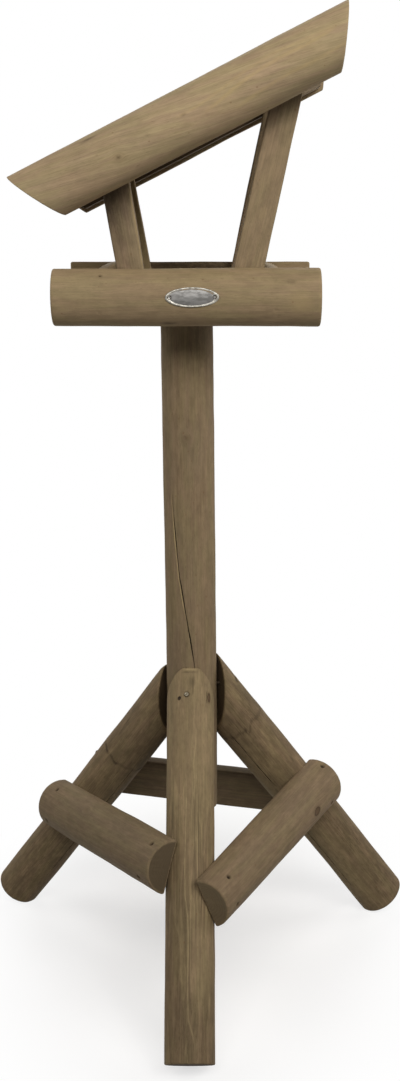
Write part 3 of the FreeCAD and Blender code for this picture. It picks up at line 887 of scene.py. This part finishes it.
leg = dict(radius=30.0, chamfer=1.5, seat=31.8, tipTrim=2.8, tipSlope=37.0)
legs = {
    "leg_front": dict(
        angle=-90.0, lean=36.5, apex=401.8, wood="legWood", girth=-0.7, taper=0.6,
        leanU=(-0.35, 0.0), rimEase=1.6, wave=0.15,
        knots=[dict(at=(21.0, -44.2, 370.2), size=5.5, stretch=2.2, rise=0.2, hollow=0.5,
                    tone=0.8),
               dict(s=150, toward=215, size=10)],
        cracks=[dict(toward=156, run=(294, 322), width=1.8, depth=2.0),
                dict(toward=134.3, run=(419, 435), width=1.1, depth=1.2, tone=0.8),
                dict(toward=97, run=(426, 452), width=0.7, depth=0.4, tone=0.4),
                dict(toward=262, run=(40, 250), width=1.5, depth=2.5)],
        streaks=[dict(path=[(292, 98), (320, 100), (340, 98), (369, 104), (392, 106)],
                      width=0.9, tone=0.6, sway=0.4),
                 dict(path=[(20, 101), (30, 97), (47, 87), (77, 86), (110, 87), (138, 87),
                            (161, 85), (184, 79), (221, 78), (240, 80), (273, 81),
                            (310, 83)], width=0.9, tone=0.65, sway=0.3),
                 *fineStreaks(5, 26, (20, 345), (90, 142), (60, 150)),
                 *fineStreaks(6, 8, (160, 345), (42, 88), (60, 120))],
        fineBands=[(100, 24, 0.7)], fineLengths=[(458, 6, 0.6)],
        spots=[dict(at=(2.0, -45.0, 392.0), size=4, stretch=1.6, tone=0.35),
               dict(at=(0.7, -33.3, 404.3), size=9.5, stretch=0.2, tone=0.75, pale=True),
               dict(at=(-1.0, -35.6, 401.4), size=8.5, stretch=0.13, tone=0.5),
               # The front leg is painted lighter towards its top and darker at its foot.
               dict(s=400, toward=90, size=80, stretch=2.2, tone=0.26, pale=True),
               dict(s=14, toward=112, size=44, stretch=1.7, tone=0.3),
               dict(s=114, toward=128, size=16, stretch=3.0, tone=0.25, pale=True),
               dict(s=150, toward=50, size=18, stretch=6.0, tone=0.14)]),
    "leg_right": dict(
        angle=24.4, lean=37.0, apex=401.0, tipRaise=2.6, footLift=1.5, wood="sideLegWood",
        bow=(0.0, 1.0), rimEase=2.0, girth=2.0, taper=0.4, leanV=(0.6, 1.8),
        knots=[dict(s=90, toward=140, size=8)],
        whorls=[dict(s=371, sway=2.4, rise=0.35, width=3.2, tone=0.62, above=40,
                     shade=0.22)],
        spots=[dict(s=371, toward=-12, size=2.6, stretch=1.3, tone=0.8),
               dict(s=110, toward=33, size=30, stretch=3.5, tone=0.22),
               dict(s=120, toward=-65, size=25, stretch=5.0, tone=0.42, pale=True),
               dict(s=300, toward=-75, size=14, stretch=8.0, tone=0.4, pale=True)],
        cracks=[dict(toward=-42, run=(270, 378), width=1.2, depth=2.0, driftReach=16,
                     drift=[(270, 4.0), (325, -1.5), (378, -3.0)]),
                dict(toward=300, run=(60, 250), width=1.4, depth=2.4)]),
    "leg_left": dict(
        angle=149.8, lean=37.7, apex=395.5, tipRaise=-3.0, wood="sideLegWood",
        bow=(0.0, -0.8), rimEase=2.0, girth=0.4, leanV=(0.0, -1.4),
        knots=[dict(s=120, toward=30, size=9)],
        whorls=[dict(s=309, sway=2.0, rise=0.25, width=2.4, tone=0.75, above=60,
                     shade=0.16)],
        streaks=[dict(path=[(408, 122), (440, 118)], width=1.4, tone=0.7, dark=True,
                      sway=0.3),
                 dict(path=[(330, 150), (400, 140)], width=0.9, tone=0.5, dark=True)],
        cracks=[dict(toward=240, run=(80, 310), width=1.4, depth=2.4)]),
}


def legFrame(name):
    # Foot point, direction up the leg, direction of its outer side, and level one.
    size = legs[name]
    angle, lean = math.radians(size["angle"]), math.radians(size["lean"])
    away = math.cos(angle) * right + math.sin(angle) * back
    along = -away * math.sin(lean) + up * math.cos(lean)
    outward = away * math.cos(lean) + up * math.sin(lean)
    footHeight = (leg["radius"] - leg["chamfer"]) * math.sin(lean)
    run = (size["apex"] - footHeight) / math.cos(lean)
    return up * size["apex"] - along * run, along, outward, away


def makeLeg(name):
    size = legs[name]
    foot, along, outward, away = legFrame(name)
    sin, cos = outward[2], along[2]
    slope = math.tan(math.radians(leg["tipSlope"]))
    tip = size["apex"] - leg["seat"] * cos / sin + leg["radius"] / sin
    tip += size.get("tipRaise", 0.0) - leg["tipTrim"]

    def fromSeat(v):
        return foot @ away + v * cos - leg["seat"]

    def upright(v):
        return fromSeat(v) / sin

    def facet(v):
        return (tip - foot[2] - v * sin - fromSeat(v) * slope) / (cos - sin * slope)

    def topCut(u, v):
        return np.minimum(upright(v), facet(v))

    look = dict(size, capPale=lambda v: 0.9 * (facet(v) < upright(v)))
    makeWood(name + "_pole", name, size["wood"], roundOutline(leg["radius"]), foot, along,
             outward, (size.get("footLift", 0.0), topCut), look)


for name in legs:
    makeLeg(name)
print("post and legs made")


# Braces: half-round, flat against two legs, climbing from a low seat to a high one.

brace = dict(radius=31.5, clearance=0.3, ease=2.6, rimEase=2.2, pith=(2.0, -3.0))
braces = {
    "brace_left": dict(
        legs=("leg_left", "leg_front"), seats=(163.0, 193.0), overrun=4.0,
        wood="darkBraceWood", girth=1.7, leanU=(0.8, 0.8),
        knots=[dict(s=120, u=18, size=9, tone=0.3)]),
    "brace_right": dict(
        legs=("leg_front", "leg_right"), seats=(163.0, 200.0), overrun=10.0, reachOver=4.5,
        wood="braceWood", girth=1.2, taper=3.0,
        knots=[dict(s=231.6, u=-9.8, size=8.5, stretch=1.5)],
        spots=[dict(s=150, u=-14, size=5, tone=0.2), dict(s=20, u=0, size=60, tone=0.1)]),
    "brace_back": dict(
        legs=("leg_right", "leg_left"), seats=(157.0, 195.0), overrun=6.0,
        wood="darkBraceWood", girth=0.5, knots=[dict(s=150, u=-10, size=8)],
        # The dark band along the top edge is painted shade.
        spots=[dict(s=150, u=29, size=16, stretch=30, tone=0.65)]),
}


def legPoint(name, height):
    foot, along = legFrame(name)[:2]
    return foot + along * (height - foot[2]) / along[2]


for name, size in braces.items():
    low, high = (legPoint(*end) for end in zip(size["legs"], size["seats"]))
    outward = unit(np.cross(*(legFrame(one)[1] for one in size["legs"])))
    outward *= np.sign(outward @ ((low + high) * (1, 1, 0)))
    along = unit(high - low)
    origin = low + outward * (leg["radius"] + brace["clearance"]) - along * size["overrun"]
    length = np.linalg.norm(high - low) + 2 * size["overrun"] + size.get("reachOver", 0.0)
    makeWood(name + "_pole", name, size["wood"], halfRoundOutline(brace["radius"], brace["ease"]),
             origin, along, outward, (0.0, length), {**brace, **size})


# Tray: rails round a floor of boards on two bearers.

rail = dict(radius=31.5, ease=2.6, middle=865.5, halfLength=150.0, shift=2.0,
            halfWidth=91.0, halfDepth=98.0)
rails = {
    "front": dict(
        along=right, outward=-back, slide=-0.75, rimEase=2.4, leanU=(1.7, 0.2), girth=0.8,
        taper=1.0, wave=0.15, knots=[dict(s=54, u=24, size=4, tone=0.5)],
        spots=[dict(s=265, u=18, size=3, stretch=2.0, tone=0.3),
               dict(s=276, u=-4, size=12, tone=0.35, pale=True),
               # The dark spot under the plate is a painted shadow of the plate.
               dict(at=(8.0, -129.5, 866.0), size=9, stretch=2.7, tone=0.5),
               dict(s=100, u=-2, size=14, stretch=10.0, tone=0.07),
               dict(s=120, u=29, size=8, stretch=14.0, tone=0.16, pale=True),
               dict(s=130, u=-27, size=3, stretch=3.0, tone=0.5)]),
    "back": dict(
        along=-right, outward=back, rimEase=2.4, leanU=(-0.9, 1.5),
        knots=[dict(s=90, u=5, size=9)],
        # The back rail's inner face is painted darker between the battens, as painted shade of
        # the roof.
        spots=[dict(at=(0.0, 98.0, 888.0), size=46, stretch=1.9, tone=0.78)]),
    "left": dict(along=-back, outward=-right, rimEase=2.0, leanU=(1.5, 1.5),
                 knots=[dict(s=60, u=-6, size=8)]),
    "right": dict(along=back, outward=right, rimEase=2.0, leanU=(-0.8, -0.8),
                  knots=[dict(s=130, u=8, size=8)]),
}
for name, size in rails.items():
    along, outward = size["along"], size["outward"]
    isLong = name in ("front", "back")
    half = rail["halfLength"] if isLong else rail["halfDepth"]
    out = rail["halfDepth"] if isLong else rail["halfWidth"]
    origin = rail["shift"] * right + rail["middle"] * up + out * outward - half * along
    slide = size.get("slide", 0.0)
    name = "tray_rail_" + name
    makeWood(name + "_log", name, "railWood", halfRoundOutline(rail["radius"], rail["ease"]),
             origin, along, outward, (slide, 2 * half + slide), dict(size, pith=(3.0, -4.0)))


def boardFromBox(name, node, along, look):
    # A plain board that fills the space of its solid, with its upper face outward.
    low, high = (fromPost(corner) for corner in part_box(node))
    across = np.cross(up, along)
    length, width, depth = (abs((high - low) @ axis) for axis in (along, across, up))
    makeWood(name, node, "deckWood", boardOutline(width, depth, 0.9),
             (low + high) / 2 - along * length / 2, along, up, (0.0, length), look)


boardLook = dict(rimEase=0.6, wave=0.15, ripple=0.08, spacing=2.2)
for part, pith in (("front", (40, -60)), ("middle", (-15, -45)), ("back", (60, 50))):
    boardFromBox("tray_floor_" + part, "tray_board_" + part, right,
                 dict(boardLook, pith=pith, knots=[dict(s=60, u=12, size=6)]))
for side in ("left", "right"):
    boardFromBox("bearer_" + side, "tray_bearer_" + side, back, dict(boardLook, pith=(20, 30)))
print("braces and tray made")


# Roof: set out along its slope, s up the logs' lower edge and h square to it.

roof = dict(slope=26.2, middle=(19.5, 1030.4), logRadius=31.5, logLength=331.0, logEase=2.2,
            mitre=31.0, flat=128.0, rafterLow=5.0, rafterHeight=40.0, rafterDepth=30.0,
            rafterEase=1.2, setback=6.0, boardDepth=12.0, boardEase=1.0, boardCount=5,
            boardGap=2.0)
slope = math.radians(roof["slope"])
slopeAlong = math.cos(slope) * right + math.sin(slope) * up
slopeUp = math.cos(slope) * up - math.sin(slope) * right
mitre = math.tan(math.radians(roof["mitre"]))
deckUnder = roof["rafterLow"] + roof["rafterHeight"]
logRadius, logLength, flat = roof["logRadius"], roof["logLength"], roof["flat"]


def roofPoint(s, h, y):
    middle = np.array([roof["middle"][0], y, roof["middle"][1]])
    return middle + slopeAlong * (s - logLength / 2) + slopeUp * h


def mitred(length, base, setback=0.0, belly=0.0):
    # End cuts that move out with the height over the lower edge; the first may bulge.
    def cut(s, sign, bulge):
        return lambda u, v: s + sign * (mitre * (np.asarray(u) + base)
                                        + bulge * np.asarray(v) / logRadius)
    return cut(setback, -1, belly), cut(length - setback, 1, 0.0)


logLooks = {
    "front": dict(
        rimEase=1.0, girth=0.4, taper=-0.4, wave=0.2, leanU=(0.5, -1.0), bow=(-0.2, 0.0),
        pith=(4.0, -5.0),
        knots=[dict(s=81, u=-5.4, size=8, stretch=1.1, rise=0.2, hollow=0.15, tone=0.4)],
        spots=[dict(s=162, u=3.2, size=1.6, stretch=2.0, tone=0.35),
               dict(s=60, u=26, size=2.5, stretch=4.0, tone=0.5),
               dict(s=20, u=0, size=90, tone=0.08)],
        streaks=[dict(path=[(180, 96), (225, 84), (285, 74), (345, 66)], width=2.2,
                      tone=0.4, sway=2.0),
                 dict(path=[(150, 82), (215, 72), (280, 62), (340, 60)], width=1.6,
                      tone=0.3, sway=2.4),
                 dict(path=[(210, 120), (280, 108), (350, 102)], width=2.0, tone=0.3,
                      sway=1.6)]),
    "back": dict(
        rimEase=1.0, wave=0.4, pith=(-4.0, -5.0), leanU=(-0.4, -0.4),
        knots=[dict(s=210, u=4, size=9), dict(s=60, u=-12, size=6)]),
}
for name, origin, way, belly in (("front", roofPoint(0.0, logRadius, -flat), 1, 1.8),
                                 ("back", roofPoint(logLength, logRadius, flat), -1, 0.0)):
    makeWood("roof_log_%s_pole" % name, "roof_log_" + name, "logWood",
             halfRoundOutline(logRadius, roof["logEase"]), origin, way * slopeAlong,
             -way * back, mitred(logLength, logRadius, belly=belly), logLooks[name])

rafterMiddle = roof["rafterLow"] + roof["rafterHeight"] / 2
rafterOutline = boardOutline(roof["rafterHeight"], roof["rafterDepth"], roof["rafterEase"])
for side, end, pith in ((-1, "front", (30, 20)), (1, "back", (-35, 15))):
    # The right end of each rafter is painted paler, as painted light against the log's shadow.
    paintedLightEnd = dict(at=(149.6, side * 113.0, 1100.0), size=26, pale=True)
    makeWood("roof_rafter_%s_beam" % end, "roof_rafter_" + end, "rafterWood",
             rafterOutline, roofPoint(0.0, rafterMiddle, side * (flat - roof["rafterDepth"] / 2)),
             slopeAlong, -back, mitred(logLength, rafterMiddle, roof["setback"]),
             dict(boardLook, pith=pith, leanU=(-0.7, -0.7), spots=[paintedLightEnd]))

deckStart = roof["setback"] - deckUnder * mitre
boardPitch = (logLength - 2 * deckStart + roof["boardGap"]) / roof["boardCount"]
boardWidth = boardPitch - roof["boardGap"]
boardDraw = np.random.default_rng(23)
for i in range(roof["boardCount"]):
    middle = deckStart + i * boardPitch + boardWidth / 2
    pith = (boardDraw.uniform(-30, 30), boardDraw.choice([-1, 1]) * boardDraw.uniform(30, 60))
    knots = [dict(s=boardDraw.uniform(30, 220), u=boardDraw.uniform(-24, 24),
                  size=boardDraw.uniform(3, 8), tone=boardDraw.uniform(0.45, 1.0))
             for _ in range(2)]
    makeWood("roof_deck_%d" % (i + 1), "roof_board_%d" % (i + 1), "deckWood",
             boardOutline(boardWidth, roof["boardDepth"], roof["boardEase"]),
             roofPoint(middle, deckUnder + roof["boardDepth"] / 2, -flat), back, slopeUp,
             (0.0, 2 * flat), dict(boardLook, pith=pith, knots=knots))
print("roof made")


# Supports: battens that lean outward from the tray's floor up to the roof boards.

batten = dict(width=30.5, depth=20.0, chamfer=2.0, floor=875.0, railTop=897.0)
battens = {
    "left": dict(
        x=-61.7, lean=-9.8,
        front=dict(girth=0.1, taper=1.6, leanU=(-0.3, -1.9),
                   spots=[dict(s=2, u=12, size=2.6, tone=0.7),
                          # The dark patch at the top left is a painted shadow of the roof log.
                          dict(s=92, u=13, size=22, stretch=2.8, tone=0.75)],
                   # The pale streak along the right front arris is a painted highlight.
                   streaks=[dict(path=[(-15, 147), (40, 147), (110, 147)], width=1.6,
                                 tone=0.8, sway=0.2)]),
        # The back batten's face is painted paler, as painted light where the roof shades it.
        back=dict(leanU=(-1.4, -1.5), spots=[dict(at=(-62.0, 78.0, 940.0), size=34,
                                                  stretch=3.0, tone=0.8, pale=True)])),
    "right": dict(
        x=71.4, lean=12.4,
        front=dict(girth=1.1, taper=-0.9, leanU=(0.5, -0.9),
                   spots=[dict(s=62, u=-2, size=6, stretch=1.8, tone=0.5, pale=True),
                          dict(s=70, u=-6, size=90, tone=0.24, pale=True)]),
        back=dict(leanU=(-0.7, -2.4))),
}
battenLook = dict(rimEase=0.6, wave=0.25, spacing=1.8, pith=(25, -20))


def makeBatten(side, end, facing):
    size = battens[side]
    lean = math.radians(size["lean"])
    along = math.sin(lean) * right + math.cos(lean) * up
    outward = back * facing
    across = np.cross(outward, along)
    y = facing * (rail["halfDepth"] - batten["depth"] / 2)
    origin = np.array([size["x"], y, batten["railTop"]])
    toRoof = origin - roofPoint(0.0, deckUnder, y)

    def footCut(u, v):
        return (batten["floor"] - batten["railTop"] - np.asarray(u) * across[2]) / along[2]

    def roofCut(u, v):
        return -(toRoof + np.asarray(u)[..., None] * across) @ slopeUp / (along @ slopeUp)

    name = "roof_support_%s_%s" % (end, side)
    makeWood(name + "_batten", name, "battenWood",
             boardOutline(batten["width"], batten["depth"], batten["chamfer"]), origin,
             along, outward, (footCut, roofCut), {**battenLook, **size[end]})


for side in battens:
    makeBatten(side, "front", -1)
    makeBatten(side, "back", 1)
print("supports made")


# Nails, screws and pins: each is turned from a profile of its own kind.

def headProfile(item):
    # Radius and depth below the top of the head, in millimetres.
    head, thick = item["head"], 0.48 * item["head"]
    if item["group"] in ("post_screws", "bearer_screws"):
        return [(0.0, 1.6), (0.7, 1.6), (0.9, 0.2), (1.4, 0.0), (head - 0.2, 0.0),
                (head, 0.2), (2.4, 3.0)]
    if item["group"] == "plate_pins":
        return [(0.0, -0.35), (0.7, -0.28), (1.3, -0.02), (head, 0.3), (head - 0.1, 0.7),
                (0.85, 0.8)]
    return [(0.0, 0.14), (0.4 * head, 0.11), (0.72 * head, 0.0), (head - 0.22, 0.06),
            (head, 0.28), (head - 0.03, thick - 0.2), (head - 0.22, thick),
            (item["shank"] + 0.15, thick + 0.05)]


def turned(item, sides=36):
    # The head lies in the face of the wood, and the shank goes where it was driven.
    (_, crown), *profile = headProfile(item)
    shank = item["shank"]
    last = item["length"] - 1.2 * shank
    stem = [(shank, profile[-1][1] + 0.6), (shank, last * 0.5), (shank, last),
            (shank * 0.45, last + shank)]
    top, into = item.get("seat", item["top"]), item["into"]
    facing = item.get("facing", into)
    turns = circle(fullTurn(sides))
    rings = []
    for axis, run in ((facing, profile), (into, stem)):
        first = unit(np.cross(axis, up if abs(axis[2]) < 0.9 else right))
        around = turns @ [first, np.cross(axis, first)]
        rings += [top + axis * depth + around * radius for radius, depth in run]
    ends = [top + facing * crown, top + into * item["length"]]
    return np.concatenate(rings + [ends]), *tubeFaces(len(rings), sides, inward=True)


for group, metal in fastenerGroups.items():
    items = [item for item in fasteners if item["group"] == group]
    parts = [turned(item) for item in items]
    size = len(parts[0][0])
    verts = np.concatenate([points for points, _, _ in parts])
    quads, tris = (np.concatenate([part[kind] + size * k for k, part in enumerate(parts)])
                   for kind in (1, 2))
    bright = ["bright" in item for item in items]
    metal = [metals[metal], metals["brightNail"]] if any(bright) else [metals[metal]]
    piece = makePiece(group + "_turned", verts, quads, tris, {}, group, metal)
    paint(piece, np.concatenate([np.repeat(bright, len(part)) for part in parts[0][1:]]), 1)
print("fasteners made")


# Oval plate: a thin pressed sheet bent round the front rail, with a raised rim and bare.

# tarnish gives the inner and outer radius of the dark ring painted round each pin as painted
# shade.
plate = dict(x=8.0, z=868.3, halfWidth=30.0, halfHeight=10.5, thickness=1.0, bend=31.8,
             rimWidth=1.4, rimHeight=0.6, groove=0.25, grooveReach=0.6, grooveIn=0.5,
             pinSpread=25.0, pinDent=0.4, pinReach=2.2, tarnish=(1.5, 2.3),
             unevenness=0.04, backShare=0.995, sides=240, rings=46)


def bent(x, z, height):
    # A point of the flat sheet, laid round the rail.
    lean = np.arcsin(np.clip((z + plate["z"] - rail["middle"]) / plate["bend"], -1, 1))
    radius = plate["bend"] + height
    return np.stack([plate["x"] + x, -rail["halfDepth"] - radius * np.cos(lean),
                     rail["middle"] + radius * np.sin(lean)], -1)


def makePlate():
    halfW, halfH = plate["halfWidth"], plate["halfHeight"]
    rimWidth, thick, sides = plate["rimWidth"], plate["thickness"], plate["sides"]
    share = np.linspace(0, 1, plate["rings"] + 1)[1:, None] ** 0.75
    x, z = share * (circle(fullTurn(sides)) * (halfW, halfH)).T[:, None]
    fromRim = (1 - share) * halfH + 0 * x
    lift = plate["rimHeight"] * np.sqrt(ramp(1 - (2 * fromRim / rimWidth - 1) ** 2))
    inGroove = np.abs(fromRim - rimWidth - plate["grooveIn"]) / plate["grooveReach"]
    lift -= plate["groove"] * ramp(1 - inGroove)
    toPin = np.hypot(np.abs(x) - plate["pinSpread"], z)
    lift -= plate["pinDent"] * ramp(1.3 - toPin / plate["pinReach"])
    lift += plate["unevenness"] * wave(np.stack([x, z, 0 * x], -1), (9, 5, 1), 17)
    rim = bent(x[-1:], z[-1:], 0.3 * thick)
    backFace = bent(x[::-1] * plate["backShare"], z[::-1] * plate["backShare"], 0.0)
    verts = np.concatenate([bent(x, z, thick + lift), rim, backFace]).reshape(-1, 3)
    ends = [bent(0.0, 0.0, thick), bent(0.0, 0.0, 0.0)]
    quads, tris = tubeFaces(len(verts) // sides, sides, inward=True)
    piece = makePiece("oval_name_plate", np.concatenate([verts, ends]), quads, tris, {},
                      "oval_plate",
                      [metals["plateField"], metals["plateRim"], metals["oldNail"]])
    fromRim, toPin = ((far[1:] + far[:-1]).ravel() / 2 for far in (fromRim, toPin))
    paint(piece, fromRim < rimWidth + 0.1, 1)

    # A dark ring is painted round each pin, as painted shade of the dish it sits in.
    first, last = plate["tarnish"]
    paint(piece, (toPin > first) & (toPin < last), 2)


makePlate()
print("plate made")


# Floor: white, with the soft shadow of the table. Away from it the floor is plain white.

# The floor's seen colour is slightly warm, as painted warm bounce light from the wood in its
# shadow.
floorLook = dict(size=6.0, albedo=0.36, seenTone=(0.59, 0.575, 0.56), glow=0.475,
                 middle=(0.005, 0.12, 0.0), reach=(0.37, 0.56), near=0.25, far=1.0)
white = (1.0, 1.0, 1.0, 1.0)


def seenBy(net):
    # 1 for the eye, for reflections and through glass, and 0 for the light itself.
    path = net.put("LightPath")
    rest = net.reckon("MAXIMUM", path["Is Glossy Ray"], path["Is Transmission Ray"])
    return net.reckon("MAXIMUM", path["Is Camera Ray"], rest)


def makeFloor():
    half = floorLook["size"]
    mesh = bpy.data.meshes.new("studio_floor")
    corners = [(x * half, y * half, 0.0) for x, y in ((-1, -1), (1, -1), (1, 1), (-1, 1))]
    mesh.from_pydata(corners, [], [(0, 1, 2, 3)])
    floor = bpy.data.objects.new("studio_floor", mesh)
    bpy.context.scene.collection.objects.link(floor)
    material, net = newMaterial("studioFloor")
    place = net.put("VectorMath", {0: net.put("TexCoord")["Object"], 1: floorLook["middle"]},
                    operation="SUBTRACT")[0]
    place = net.scaled(place, [1 / reach for reach in floorLook["reach"]] + [0.0])
    away = net.between(net.length(place), floorLook["near"], floorLook["far"])
    seen = seenBy(net)
    colour = net.mix(seen, (*[floorLook["albedo"]] * 3, 1.0), (*floorLook["seenTone"], 1.0))
    diffuse = net.put("BsdfDiffuse", {"Color": colour})[0]
    glow = net.put("Emission", {"Color": white,
                                "Strength": net.times(seen, floorLook["glow"])})[0]
    lit = net.put("AddShader", {0: diffuse, 1: glow})[0]
    plain = net.put("Emission", {"Color": white, "Strength": 1.0})[0]
    mixed = net.put("MixShader", {0: net.times(away, seen), 1: lit, 2: plain})[0]
    net.put("OutputMaterial", {"Surface": mixed})
    mesh.materials.append(material)


makeFloor()


# Light: a wide soft box in front, one to the right of it, and weak ones beside and behind.

lampAim = np.array([0.0, 0.0, 0.7])
lamps = {
    "frontBox": dict(place=(0.2, -2.3, 2.35), size=(2.8, 1.0), power=58.0),
    "slantBox": dict(place=(1.6, -1.8, 2.3), size=(1.2, 1.0), power=23.0),
    "leftBox": dict(place=(-2.0, 0.7, 1.3), size=(1.3, 1.3), power=12.0),
    "rightBox": dict(place=(2.0, 0.7, 1.3), size=(1.3, 1.3), power=15.0),
    "overBox": dict(place=(-1.6, 0.0, 2.4), size=(1.2, 1.2), power=5.0),
    "backBox": dict(place=(0.0, 2.2, 2.2), size=(1.4, 1.0), power=16.0),
}


def addLooking(name, data, place, forward, rightward):
    # A lamp or camera looks along its own -Z.
    thing = bpy.data.objects.new(name, data)
    bpy.context.scene.collection.objects.link(thing)
    matrix = np.eye(4)
    matrix[:3, :3] = np.stack([rightward, np.cross(rightward, forward), -forward], 1)
    matrix[:3, 3] = place
    thing.matrix_world = Matrix(matrix.tolist())
    return thing


for name, look in lamps.items():
    data = bpy.data.lights.new(name, "AREA")
    data.shape = "RECTANGLE"
    data.size, data.size_y = look["size"]
    data.energy = look["power"]
    forward = unit(lampAim - look["place"])
    addLooking(name, data, look["place"], forward, unit(np.cross(forward, up)))


def makeWorld():
    # The room is dim for the wood, and white for the eye and for the metal.
    world = bpy.data.worlds.new("room")
    bpy.context.scene.world = world
    world.use_nodes = True
    world.node_tree.nodes.clear()
    net = Net(world.node_tree)
    dim = net.put("Background", {"Color": white, "Strength": 0.01})[0]
    plain = net.put("Background", {"Color": white, "Strength": 1.0})[0]
    mixed = net.put("MixShader", {0: seenBy(net), 1: dim, 2: plain})[0]
    net.put("OutputWorld", {"Surface": mixed})


makeWorld()


# Camera, as the photograph was taken: in the frame of the post's foot, millimetres.

view = dict(place=(33.46, -1691.29, 973.28), yaw=0.01203, tilt=0.23891, roll=-0.0077,
            focalPixels=1401.5, frameHeight=1081.0, sensor=36.0)
yaw, tilt, roll = view["yaw"], view["tilt"], view["roll"]
level = math.cos(yaw) * right + math.sin(yaw) * back
forward = math.cos(tilt) * np.cross(up, level) - math.sin(tilt) * up
cameraData = bpy.data.cameras.new("camera")
cameraData.sensor_width = view["sensor"]
cameraData.lens = view["focalPixels"] * view["sensor"] / view["frameHeight"]
bpy.context.scene.camera = addLooking(
    "camera", cameraData, np.array(view["place"]) * mm + underPost, forward,
    level * math.cos(roll) + np.cross(level, forward) * math.sin(roll))
bpy.context.scene.view_settings.view_transform = "Standard"
print("floor, light and camera set")
